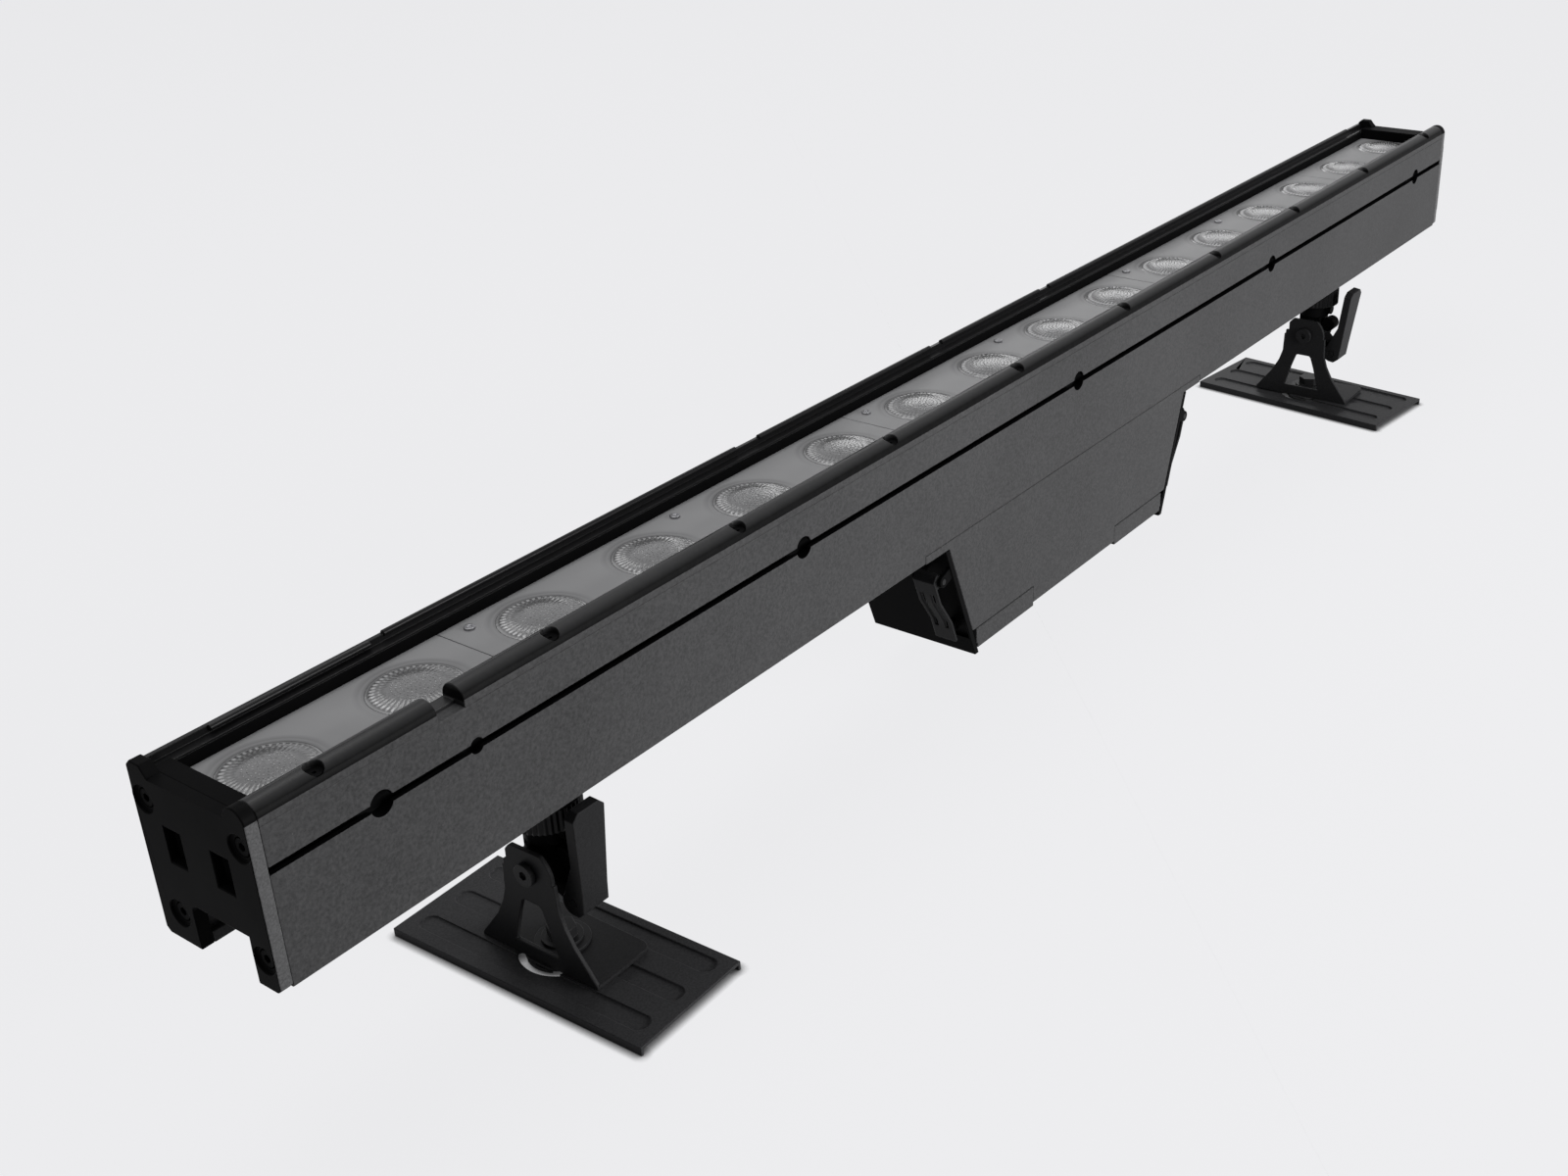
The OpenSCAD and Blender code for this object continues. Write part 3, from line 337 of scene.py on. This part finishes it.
def rail_coat_painted_light(name, colour):
    """Smooth black of the near rail, with a painted highlight on its crown and in its gap and painted shade on
    its side
    """
    graph = Finish(name)
    mottle = graph.noise(340.0, 4.0, 0.6)
    share = (graph.along("Z") - RAIL_DOME_FOOT) * (1.0 / RAIL_ROUND)
    # Painted highlight: lighter on the crown and below the foot of the dome; painted shade: darker on its side
    painted_sheen_mask = graph.ramp(share, [(0.0, 1.0), (0.03, 0.0), (0.55, 0.0), (0.9, 1.0)])
    base = graph.tint(mottle * 0.3 + painted_sheen_mask * 0.7, shade(colour, 0.3), shade(colour, 1.8))
    return graph.surface({
        "Base Color": base, "Roughness": 0.34, "Normal": graph.bump(mottle, 0.3, CAST_DEPTH),
        "Specular IOR Level": 0.015, "Coat Weight": painted_sheen_mask * 0.3, "Coat Roughness": 0.34})


def bare_metal(name, colour, roughness, stretch):
    """Brushed metal with streaks, stretched along the axis whose scale is lowest"""
    graph = Finish(name)
    stretched = graph.node("ShaderNodeMapping", None, {"Vector": graph.place, "Scale": stretch})
    streaks = graph.noise(1.0, 4.0, 0.6, stretched)
    smears = graph.noise(60.0, 2.0)
    base = graph.tint(streaks * 0.6 + smears * 0.4, shade(colour, 0.75), shade(colour, 1.2))
    return graph.surface({
        "Base Color": base, "Metallic": 1.0, "Roughness": roughness + (streaks - 0.5) * 0.2,
        "Normal": graph.bump(streaks, 0.2, BRUSHED_DEPTH)})


def frosted_optic(name, colour):
    """Frosted grey optic plate with a faint cloud, a fine etch and a painted shadow in rings behind each lens
    """
    graph = Finish(name)
    etch = graph.noise(2600.0, 2.0)
    cloud = graph.noise(26.0, 3.0)
    share, turn = graph.round_lens()
    # Painted shadow of each lens on the plate, in rings round it and darkest behind it
    painted_lens_shadow = graph.ramp(share - 0.5, [(0.5, 0.75), (0.58, 1.0), (0.66, 0.25), (0.72, 0.55), (0.85, 0.0)])
    behind = graph.ramp(graph.wave(turn + 0.45), [(0.35, 0.15), (0.9, 1.0)])
    base = graph.tint(cloud * 0.75 + etch * 0.25, shade(colour, 0.82), shade(colour, 1.16))
    base = graph.tint(painted_lens_shadow * behind * 0.85, base, shade(colour, 0.35))
    return graph.surface({
        "Base Color": base, "Roughness": 0.42 + (cloud - 0.5) * 0.12 + (etch - 0.5) * 0.1,
        "Normal": graph.bump(etch, 0.25, BRUSHED_DEPTH), "Specular IOR Level": 0.22})


def lens_plastic(name, colour):
    """Clear moulded lens seen against its bright inside, with small round cells in its face, painted glints on
    the cells and painted highlights on its fluted rim and shoulder
    """
    graph = Finish(name)
    flutes = bpy.context.scene.wall_washer_sizes.flute_count
    share, turn = graph.round_lens()
    cells = graph.cells(620.0)
    # Painted glints on the cells, and painted highlights on the flutes of the rim and in scales over the
    # shoulder
    painted_glints = graph.ramp(cells, [(0.05, 1.0), (0.35, 0.0)])
    painted_flute_highlights = graph.ramp(graph.wave(turn * flutes), [(0.5, 0.0), (0.85, 1.0)])
    painted_scale_highlights = graph.ramp(graph.wave(turn * flutes + share * 26.0), [(0.3, 0.0), (0.9, 1.0)])
    rim = graph.ramp(share, [(0.84, 0.0), (0.9, 1.0), (0.97, 1.0), (1.0, 0.0)])
    shoulder = graph.ramp(share, [(0.7, 0.0), (0.76, 0.4), (0.82, 0.35), (0.88, 0.0)])
    drift = graph.noise(70.0, 2.0)
    flange = graph.ramp(share - 0.5, [(0.49, 0.0), (0.52, 0.5)])
    bright = rim * painted_flute_highlights + shoulder * painted_scale_highlights + flange + painted_glints * 0.08 + (drift - 0.5) * 0.3
    return graph.surface({
        "Base Color": graph.tint(bright, shade(colour, 0.85), shade(colour, 2.7)),
        "Roughness": 0.2 + (cells - 0.5) * 0.1, "Normal": graph.bump(1.0 - cells, 0.5, LENS_CELL_DEPTH),
        "Specular IOR Level": 0.5, "Coat Weight": 0.3, "Coat Roughness": 0.12})


def lens_dots(name, colour):
    """The raised dots of a lens, with painted glints that make some of them brighter"""
    graph = Finish(name)
    # Painted glints on some of the dots
    painted_glint_mask = graph.ramp(graph.noise(420.0, 1.0), [(0.42, 0.0), (0.62, 1.0)])
    return graph.surface({
        "Base Color": graph.tint(painted_glint_mask, shade(colour, 0.95), shade(colour, 2.6)),
        "Roughness": 0.16 + painted_glint_mask * 0.1, "Specular IOR Level": 0.6})


def plain_resin(name, low, high, roughness):
    """Board, rubber or resin with a fine even mottle between two colours"""
    graph = Finish(name)
    mottle = graph.noise(700.0, 3.0)
    return graph.surface({
        "Base Color": graph.tint(mottle, low, high), "Roughness": roughness + (mottle - 0.5) * 0.15,
        "Normal": graph.bump(mottle, 0.2, RESIN_DEPTH)})


def finishes():
    """Every finish of the light by its name, made once"""
    colours = bpy.context.scene.wall_washer_colours
    powder, casting, sheet = tuple(colours.powder), tuple(colours.casting), tuple(colours.sheet)
    makers = {
        "powder_coat": (powder_coat, dict(colour=powder, dust=0.6)),
        # Painted sheen: a lighter copy of the powder coat on the narrow sides of the end caps
        "cut_edge": (powder_coat, dict(
            colour=shade(powder, 1.8), roughness=0.42, grain=SHEET_GRAIN, depth=0.06 * MM)),
        "black_steel": (powder_coat, dict(
            colour=shade(sheet, 0.5), roughness=0.44, grain=SHEET_GRAIN, depth=0.06 * MM,
            dust=0.4, specular=0.06)),
        "plate_steel": (powder_coat, dict(
            colour=sheet, roughness=0.4, grain=SHEET_GRAIN, depth=0.04 * MM, dust=0.4, specular=0.05)),
        "cast_black": (smooth_black, dict(colour=casting, roughness=0.46)),
        # shadow_black is painted shade in the housing's slots and window recess, and the black of the end
        # blocks
        "shadow_black": (smooth_black, dict(colour=shade(casting, 0.8), roughness=0.5)),
        "black_plastic": (smooth_black, dict(colour=casting, roughness=0.4, specular=0.1)),
        "black_screw": (smooth_black, dict(colour=shade(casting, 3.4), roughness=0.4, specular=0.08)),
        "bead_black": (smooth_black, dict(colour=shade(casting, 1.5), roughness=0.3, specular=0.12)),
        "rail_black": (rail_coat_painted_light, dict(colour=shade(powder, 0.25))),
        "bright_steel": (bare_metal, dict(
            colour=(0.3, 0.3, 0.31), roughness=0.34, stretch=(500.0, 500.0, 500.0))),
        "bare_aluminium": (bare_metal, dict(
            colour=(0.6, 0.61, 0.62), roughness=0.4, stretch=(30.0, 900.0, 900.0))),
        "board_white": (plain_resin, dict(low=(0.66, 0.66, 0.63), high=(0.8, 0.8, 0.77), roughness=0.5)),
        "emitter_yellow": (plain_resin, dict(low=(0.62, 0.5, 0.1), high=(0.8, 0.66, 0.2), roughness=0.3)),
        "seal_rubber": (plain_resin, dict(low=(0.012, 0.012, 0.012), high=(0.03, 0.03, 0.03), roughness=0.7)),
        "driver_green": (plain_resin, dict(low=(0.015, 0.07, 0.03), high=(0.03, 0.13, 0.06), roughness=0.45)),
        "frosted_optic": (frosted_optic, dict(colour=tuple(colours.frosted))),
        "clear_lens": (lens_plastic, dict(colour=tuple(colours.lens))),
        "lens_dots": (lens_dots, dict(colour=tuple(colours.lens))),
    }
    return {finish: bpy.data.materials.get(finish + "_finish") or maker(finish + "_finish", **values)
            for finish, (maker, values) in makers.items()}


SLOTS = {part["node"]: part["material_slot"] for part in frame["record"]["subparts"]}

# Nodes whose finish differs from the rest of their slot
OWN_FINISHES = {
    "far_rail": "bead_black", "near_rail": "rail_black", "latch_pins": "black_screw",
    "cap_screws": "cast_black", "rail_screws": "cast_black",
    **{"end_block_" + side: "shadow_black" for side in SIDES},
    **{"base_plate_" + side: "plate_steel" for side in SIDES},
    **{"lever_pin_" + side: "black_screw" for side in SIDES},
}


def body_of(node):
    """The body that carries a node"""
    return frame["nodes"][node]["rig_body"]


def finish_of(node):
    """The finish that a node shows"""
    return finishes()[OWN_FINISHES.get(node, SLOTS[node])]


def dress(node):
    """Give a node its finish and leave its shape alone"""
    mesh = frame["nodes"][node].data
    mesh.materials.clear()
    mesh.materials.append(finish_of(node))


def smooth_by_angle(mesh, degrees):
    """Shade a mesh smooth, apart from the edges that bend more than an angle"""
    mesh.shade_smooth()
    mesh.set_sharp_from_angle(angle=math.radians(degrees))


def stand_for(name, bm, nodes, angle=35.0, second=None):
    """Turn a bmesh into a piece that stands for some nodes and rides with them"""
    mesh = bpy.data.meshes.new(name)
    bm.to_mesh(mesh)
    bm.free()
    piece = bpy.data.objects.new(name, mesh)
    bpy.context.scene.collection.objects.link(piece)
    mesh.materials.append(finish_of(nodes[0]))
    if second:
        mesh.materials.append(finishes()[second])
    smooth_by_angle(mesh, angle)
    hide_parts(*nodes)
    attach(piece, body_of(nodes[0]))
    return piece


# Points nearer than this become one, and faces that bend less than this at an edge become one
JOIN_REACH = 0.002 * MM
FLAT_ANGLE = math.radians(0.4)

# An edge has room if each edge at its ends is this many widths long, or is sharp and runs on in its line
ROOM_IN_WIDTHS = 2.1
RUNS_ON_COSINE = -0.7


def has_room(edge, sharp, width):
    """Whether the edges that meet an edge's ends are long enough for it to be rounded"""
    for vert in edge.verts:
        along = (edge.other_vert(vert).co - vert.co).normalized()
        for other in vert.link_edges:
            away = other.other_vert(vert).co - vert.co
            runs_on = other in sharp and along.dot(away.normalized()) < RUNS_ON_COSINE
            if other is not edge and not runs_on and away.length < ROOM_IN_WIDTHS * width:
                return False
    return True


def soften(node, width, segments=2, angle=30.0, second=None, marks=None):
    """Stand a copy of a node in its place, with the edges rounded that have room for it

    Edges that bend more than the angle are rounded. Faces that marks picks show the second finish.
    """
    bm = bmesh.new()
    bm.from_mesh(frame["nodes"][node].data)
    bmesh.ops.remove_doubles(bm, verts=bm.verts, dist=JOIN_REACH)
    bmesh.ops.dissolve_limit(bm, angle_limit=FLAT_ANGLE, verts=bm.verts, edges=bm.edges)
    weight = bm.edges.layers.float.new("bevel_weight_edge")
    sharp = {edge for edge in bm.edges
             if len(edge.link_faces) == 2 and edge.calc_face_angle() > math.radians(angle)}
    for edge in sharp:
        edge[weight] = 1.0 if has_room(edge, sharp, width) else 0.0
    if second:
        for face in bm.faces:
            face.material_index = 1 if marks(face) else 0
    piece = stand_for(node + "_finished", bm, [node], second=second)
    rounding = piece.modifiers.new("Edge rounding", "BEVEL")
    rounding.width = width
    rounding.segments = segments
    rounding.limit_method = "WEIGHT"
    rounding.use_clamp_overlap = False
    even = piece.modifiers.new("Even shading", "WEIGHTED_NORMAL")
    even.weight = 100
    even.keep_sharp = True


class PieceOperator:
    """Shared settings of the operators that make pieces"""

    bl_options = {"REGISTER", "UNDO"}

    @property
    def sizes(self):
        return bpy.context.scene.wall_washer_sizes


class WALLWASHER_OT_bar(PieceOperator, bpy.types.Operator):
    """Finish the extruded housing with its rails"""

    bl_idname = "wallwasher.bar"
    bl_label = "Bar and rails"

    slot_drop = 16.5 * MM
    slot_reach = 5.5 * MM
    slot_mouth = 0.3 * MM
    slot_floor = 12.0 * MM
    recess_depth = 4.0 * MM
    recess_margin = 3.0 * MM
    wall_facing = 0.5
    strip_facing = 0.98
    strip_reach = 0.3 * MM
    dome_angle = 40.0
    bead_round_share = 0.5

    def takes_painted_shade(self, face):
        """Whether a face lies inside a side slot, one of its entry holes or a wall of the window recess, where
        painted shade goes
        """
        middle = face.calc_center_median()
        depth = min(middle.y - HOUSING_LOW.y, HOUSING_HIGH.y - middle.y)
        off_slot = abs(middle.z - (HOUSING_HIGH.z - self.slot_drop))
        in_slot = off_slot < self.slot_reach and self.slot_mouth < depth < self.slot_floor
        in_recess = (middle.z > PLATE_LOW.z - self.recess_depth and abs(face.normal.y) > self.wall_facing
                     and PLATE_LOW.y - self.recess_margin < middle.y < PLATE_HIGH.y + self.recess_margin)
        return in_slot or in_recess

    def is_outer_strip(self, face):
        """Whether a face is the flat strip under the dome of the near rail"""
        near = face.calc_center_median().y < RAIL_LOW.y + self.strip_reach
        return near and face.normal.y < -self.strip_facing

    def execute(self, context):
        width = self.sizes.edge_round
        # The slots and the walls of the window recess get shadow_black as painted shade
        soften("housing", width, second="shadow_black", marks=self.takes_painted_shade)
        soften("near_rail", width, angle=self.dome_angle, second="powder_coat", marks=self.is_outer_strip)
        soften("far_rail", self.bead_round_share * width)
        return {"FINISHED"}


class WALLWASHER_OT_caps(PieceOperator, bpy.types.Operator):
    """Finish the end caps and the blocks behind them"""

    bl_idname = "wallwasher.caps"
    bl_label = "End caps"

    side_facing = 0.99
    side_reach = 0.5 * MM

    def is_outer_side(self, face):
        """Whether a face is one of the two narrow sides of a cap"""
        middle = face.calc_center_median().y
        depth = min(middle - CAP_LOW.y, CAP_HIGH.y - middle)
        return abs(face.normal.y) > self.side_facing and depth < self.side_reach

    def execute(self, context):
        for side in SIDES:
            # The narrow sides of each cap get the painted sheen
            soften("end_cap_" + side, self.sizes.casting_round, segments=3,
                   second="cut_edge", marks=self.is_outer_side)
            soften("end_block_" + side, self.sizes.edge_round)
        return {"FINISHED"}


class WALLWASHER_OT_optics(PieceOperator, bpy.types.Operator):
    """Finish the frosted optic plates"""

    bl_idname = "wallwasher.optics"
    bl_label = "Optic plates"

    def execute(self, context):
        for number in PLATE_NUMBERS:
            soften("optic_plate_%d" % number, self.sizes.optic_round)
        return {"FINISHED"}


class WALLWASHER_OT_lenses(PieceOperator, bpy.types.Operator):
    """Make the domed lenses with fluted rims and raised dots"""

    bl_idname = "wallwasher.lenses"
    bl_label = "Lenses"

    # Heights over the top of the optic plate, with the flange lying in the ring that is pressed into it
    rim_rise = 0.45 * MM
    crown_rise = 2.0 * MM
    flange_reach = 1.15 * MM
    flange_top = -0.05 * MM
    flange_low = -0.57 * MM

    # Distances from the middle of a lens, as shares of its radius
    face_shares = (0.0, 0.2, 0.4, 0.6, 0.72, 0.8, 0.87, 0.93, 0.98)
    cone_top_share = 0.72
    cone_foot_share = 0.27
    flute_start = 0.7
    flute_length = 0.28
    flute_end = 0.98
    flute_limit = 0.995
    dotted_share = 0.52

    # How the flutes and the dots are shaped
    rim_foot_share = 0.3
    corners_per_flute = 4
    flute_skew = 0.8
    rim_flute_weight = 0.35
    dot_pitch_in_radii = 4.2
    dot_height_share = 0.6
    least_dots = 6
    smooth_angle = 50.0

    def crown_height(self, radius):
        """Height of the face above the plate at a distance from the lens's middle"""
        share = min(1.0, radius / LENS_RADIUS)
        return self.rim_rise + (self.crown_rise - self.rim_rise) * (1.0 - share * share)

    def lens_body(self, bm):
        """Spin the section of a lens: its face, its flange and the cone that runs down to the light"""
        flange_edge = LENS_RADIUS + self.flange_reach
        points = [(share * LENS_RADIUS, PLATE_TOP + self.crown_height(share * LENS_RADIUS))
                  for share in self.face_shares]
        points += [(LENS_RADIUS, PLATE_TOP + self.rim_foot_share * self.rim_rise),
                   (flange_edge, PLATE_TOP + self.flange_top),
                   (flange_edge, PLATE_TOP + self.flange_low),
                   (LENS_RADIUS, PLATE_TOP + self.flange_low),
                   (LENS_RADIUS, PLATE_LOW.z),
                   (self.cone_top_share * LENS_RADIUS, PLATE_LOW.z),
                   (self.cone_foot_share * LENS_RADIUS, LENS_LOW.z),
                   (0.0, LENS_LOW.z)]
        verts = [bm.verts.new((radius, 0.0, height)) for radius, height in points]
        edges = [bm.edges.new(pair) for pair in zip(verts, verts[1:])]
        bmesh.ops.spin(bm, geom=verts + edges, cent=(0, 0, 0), axis=(0, 0, 1), angle=math.tau,
                       steps=self.corners_per_flute * self.sizes.flute_count, use_merge=True)
        bmesh.ops.remove_doubles(bm, verts=bm.verts, dist=JOIN_REACH)
        self.flute(bm.verts)

    def flute(self, verts):
        """Press flutes into the outer part of the face"""
        for vert in verts:
            share = math.hypot(vert.co.x, vert.co.y) / LENS_RADIUS
            if vert.co.z > PLATE_TOP and self.flute_start < share < self.flute_limit:
                turn = math.atan2(vert.co.y, vert.co.x) * self.sizes.flute_count
                weight = self.rim_flute_weight
                if share < self.flute_end:
                    along = min(1.0, (share - self.flute_start) / self.flute_length)
                    weight = math.sin(math.pi * along ** self.flute_skew) ** 0.5
                vert.co.z -= self.sizes.flute_depth * weight * (0.5 - 0.5 * math.cos(turn))

    def dots(self, bm):
        """Raised dots in rings over the inner part of the face"""
        size = self.sizes.dot_radius
        for ring in range(1, self.sizes.dot_rings + 1):
            radius = ring * self.dotted_share * LENS_RADIUS / self.sizes.dot_rings
            count = max(self.least_dots, int(math.tau * radius / (self.dot_pitch_in_radii * size)))
            for k in range(count):
                turn = math.tau * (k + 0.5 * (ring % 2)) / count
                at = Vector((radius * math.cos(turn), radius * math.sin(turn),
                             PLATE_TOP + self.crown_height(radius)))
                matrix = (Matrix.Translation(at)
                          @ Matrix.Diagonal((size, size, self.dot_height_share * size, 1.0)))
                bmesh.ops.create_icosphere(bm, subdivisions=1, radius=1.0, matrix=matrix)

    def one_lens(self):
        """The mesh of one lens round the upright axis, copied to every place"""
        bm = bmesh.new()
        self.lens_body(bm)
        plain = len(bm.faces)
        self.dots(bm)
        bmesh.ops.recalc_face_normals(bm, faces=bm.faces)
        bm.faces.ensure_lookup_table()
        for face in bm.faces[plain:]:
            face.material_index = 1
        mesh = bpy.data.meshes.new("one_lens")
        bm.to_mesh(mesh)
        bm.free()
        return mesh

    def execute(self, context):
        pattern = self.one_lens()
        for number in PLATE_NUMBERS:
            low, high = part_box("lens_set_%d" % number)
            count = round((high.x - low.x - 2 * LENS_RADIUS) / LENS_PITCH) + 1
            bm = bmesh.new()
            for k in range(count):
                before = len(bm.verts)
                bm.from_mesh(pattern)
                bm.verts.ensure_lookup_table()
                middle = Vector((low.x + LENS_RADIUS + k * LENS_PITCH, LENS_MIDDLE_Y, 0.0))
                bmesh.ops.translate(bm, verts=bm.verts[before:], vec=middle)
            stand_for("lens_set_%d_fluted" % number, bm, ["lens_set_%d" % number],
                      angle=self.smooth_angle, second="lens_dots")
        bpy.data.meshes.remove(pattern)
        return {"FINISHED"}


class WALLWASHER_OT_engine(PieceOperator, bpy.types.Operator):
    """Finish the light boards, the spreader, the seal and the driver inside the light"""

    bl_idname = "wallwasher.engine"
    bl_label = "Light engine"

    def execute(self, context):
        for node in ("heat_spreader", "light_emitters", "window_gasket", "driver_board"):
            dress(node)
        for number in PLATE_NUMBERS:
            dress("light_board_%d" % number)
        return {"FINISHED"}


class WALLWASHER_OT_screws(PieceOperator, bpy.types.Operator):
    """Finish the screws"""

    bl_idname = "wallwasher.screws"
    bl_label = "Screws"

    screw_round_share = 0.4

    def execute(self, context):
        for node in ("rail_screws", "cap_screws", "optic_screws"):
            soften(node, self.screw_round_share * self.sizes.edge_round)
        return {"FINISHED"}


class WALLWASHER_OT_box(PieceOperator, bpy.types.Operator):
    """Finish the power box with its latches and gland"""

    bl_idname = "wallwasher.box"
    bl_label = "Power box"

    def execute(self, context):
        for node in ("box_shell", "box_tray", "cable_gland"):
            soften(node, self.sizes.edge_round)
        for side in SIDES:
            soften("box_end_" + side, self.sizes.edge_round)
            soften("latch_" + side, self.sizes.edge_round)
        dress("latch_pins")
        return {"FINISHED"}


class WALLWASHER_OT_brackets(PieceOperator, bpy.types.Operator):
    """Finish the floor brackets"""

    bl_idname = "wallwasher.brackets"
    bl_label = "Brackets"

    fastener_round_share = 0.6

    def execute(self, context):
        for side in SIDES:
            soften("base_plate_" + side, self.sizes.groove_round, segments=3)
            for node in ("ear_bracket_", "lever_", "knuckle_"):
                soften(node + side, self.sizes.edge_round)
            for node in ("pivot_bolt_", "yaw_bolt_", "yaw_washer_", "thumb_wheel_"):
                soften(node + side, self.fastener_round_share * self.sizes.edge_round)
            for node in ("slide_nut_", "draw_bolt_", "lever_pin_"):
                dress(node + side)
        return {"FINISHED"}


def add_light(name, place, target, size, power):
    """A soft rectangular lamp that faces a point, with its size in metres and its power in watts"""
    data = bpy.data.lights.new(name, "AREA")
    data.shape = "RECTANGLE"
    data.size, data.size_y = size
    data.energy = power
    lamp = bpy.data.objects.new(name, data)
    lamp.location = place
    lamp.rotation_mode = "QUATERNION"
    lamp.rotation_quaternion = (Vector(target) - Vector(place)).to_track_quat("-Z", "Y")
    bpy.context.scene.collection.objects.link(lamp)


class WALLWASHER_OT_stage(PieceOperator, bpy.types.Operator):
    """Set up the floor, the lamps, the world and the camera"""

    bl_idname = "wallwasher.stage"
    bl_label = "Studio"

    floor_half = 30.0
    shadow_share = 0.06
    ambient = 0.16
    bounce_share = 0.25
    # Reach, steepness and samples of the painted contact shadow on the floor
    painted_shadow_reach = 4.0 * MM
    painted_shadow_power = 3.0
    painted_shadow_samples = 8

    def make_floor(self, colour):
        """Wide flat floor under the feet"""
        bm = bmesh.new()
        bmesh.ops.create_grid(bm, x_segments=1, y_segments=1, size=self.floor_half)
        mesh = bpy.data.meshes.new("studio_floor")
        bm.to_mesh(mesh)
        bm.free()
        floor = bpy.data.objects.new("studio_floor", mesh)
        floor.location.z = CAD_LOW.z
        bpy.context.scene.collection.objects.link(floor)
        mesh.materials.append(self.floor_finish(colour))

    def floor_finish(self, colour):
        """Pale floor that shows its own colour to the camera and keeps a soft shadow

        It glows in that colour, darker in a painted contact shadow within a short reach of a part, and lights
        the part less.
        """
        graph = Graph(bpy.data.materials.new("studio_floor"))
        own, dark = (*colour, 1.0), (*shade(colour, self.bounce_share), 1.0)
        # Painted contact shadow: the floor's glow darkens where a part is near
        painted_contact_shadow = graph.node("ShaderNodeAmbientOcclusion", {"samples": self.painted_shadow_samples},
                             {"Distance": self.painted_shadow_reach}, "AO")
        paint = graph.node("ShaderNodeBsdfDiffuse", None, {"Color": own})
        glow = graph.node("ShaderNodeEmission", None, {
            "Color": own, "Strength": graph.maths("POWER", painted_contact_shadow, self.painted_shadow_power)})
        dim = graph.node("ShaderNodeBsdfDiffuse", None, {"Color": dark})
        shown = graph.mixed(1.0 - self.shadow_share, paint, glow)
        return graph.close("ShaderNodeOutputMaterial", graph.mixed(graph.seen_rays(), dim, shown))

    def make_world(self, colour):
        """Background that shows its colour to the camera and lights the part evenly and dimly"""
        graph = Graph(bpy.data.worlds.new("studio_world"))
        fill = graph.node("ShaderNodeBackground", None, {"Color": (*colour, 1.0), "Strength": self.ambient})
        shown = graph.node("ShaderNodeBackground", None, {"Color": (*colour, 1.0)})
        bpy.context.scene.world = graph.close(
            "ShaderNodeOutputWorld", graph.mixed(graph.seen_rays(), fill, shown))

    def make_camera(self):
        """Camera at the photograph's viewing angle"""
        data = bpy.data.cameras.new("studio_camera")
        data.lens = CAMERA_LENS_MM
        data.shift_x, data.shift_y = CAMERA_SHIFT
        camera = bpy.data.objects.new("studio_camera", data)
        camera.location = CAMERA_PLACE
        camera.rotation_mode = "QUATERNION"
        camera.rotation_quaternion = CAMERA_AIM.to_track_quat("-Z", "Y") @ Quaternion((0, 0, 1), CAMERA_ROLL)
        bpy.context.scene.collection.objects.link(camera)
        bpy.context.scene.camera = camera

    def execute(self, context):
        colour = tuple(bpy.context.scene.wall_washer_colours.backdrop)
        self.make_camera()
        self.make_floor(colour)
        self.make_world(colour)
        add_light("key_softbox", (0.15, -1.25, 0.42), (0.1, 0.0, 0.1), (1.0, 0.6), 20.0)
        add_light("top_softbox", (-0.2, 0.4, 1.6), (0.0, 0.0, 0.1), (1.6, 0.8), 12.0)
        add_light("back_card", (1.86, 1.03, 0.85), (0.05, 0.0, 0.15), (1.0, 0.5), 2.5)
        bpy.context.scene.view_settings.view_transform = "Standard"
        return {"FINISHED"}


class WALLWASHER_PT_panel(bpy.types.Panel):
    """Lists the sizes, the colours and the steps that dress the light"""

    bl_label = "Wall Washer"
    bl_idname = "WALLWASHER_PT_panel"
    bl_space_type = "VIEW_3D"
    bl_region_type = "UI"
    bl_category = "Wall Washer"

    def draw(self, context):
        for group in (context.scene.wall_washer_sizes, context.scene.wall_washer_colours):
            for name in group.bl_rna.properties.keys():
                if name not in ("rna_type", "name"):
                    self.layout.prop(group, name)
        for step in STEPS:
            self.layout.operator(step.bl_idname)


STEPS = (WALLWASHER_OT_stage, WALLWASHER_OT_bar, WALLWASHER_OT_caps, WALLWASHER_OT_optics,
         WALLWASHER_OT_lenses, WALLWASHER_OT_engine, WALLWASHER_OT_screws, WALLWASHER_OT_box,
         WALLWASHER_OT_brackets)
CLASSES = (WallWasherSizes, WallWasherColours, *STEPS, WALLWASHER_PT_panel)


def register():
    for item in CLASSES:
        bpy.utils.register_class(item)
    bpy.types.Scene.wall_washer_sizes = bpy.props.PointerProperty(type=WallWasherSizes)
    bpy.types.Scene.wall_washer_colours = bpy.props.PointerProperty(type=WallWasherColours)


def unregister():
    del bpy.types.Scene.wall_washer_colours
    del bpy.types.Scene.wall_washer_sizes
    for item in reversed(CLASSES):
        bpy.utils.unregister_class(item)


def main():
    register()
    bpy.ops.wallwasher.stage()
    bpy.ops.wallwasher.bar()
    bpy.ops.wallwasher.caps()
    bpy.ops.wallwasher.optics()
    bpy.ops.wallwasher.lenses()
    bpy.ops.wallwasher.engine()
    bpy.ops.wallwasher.screws()
    bpy.ops.wallwasher.box()
    bpy.ops.wallwasher.brackets()


if __name__ == "__main__":
    main()
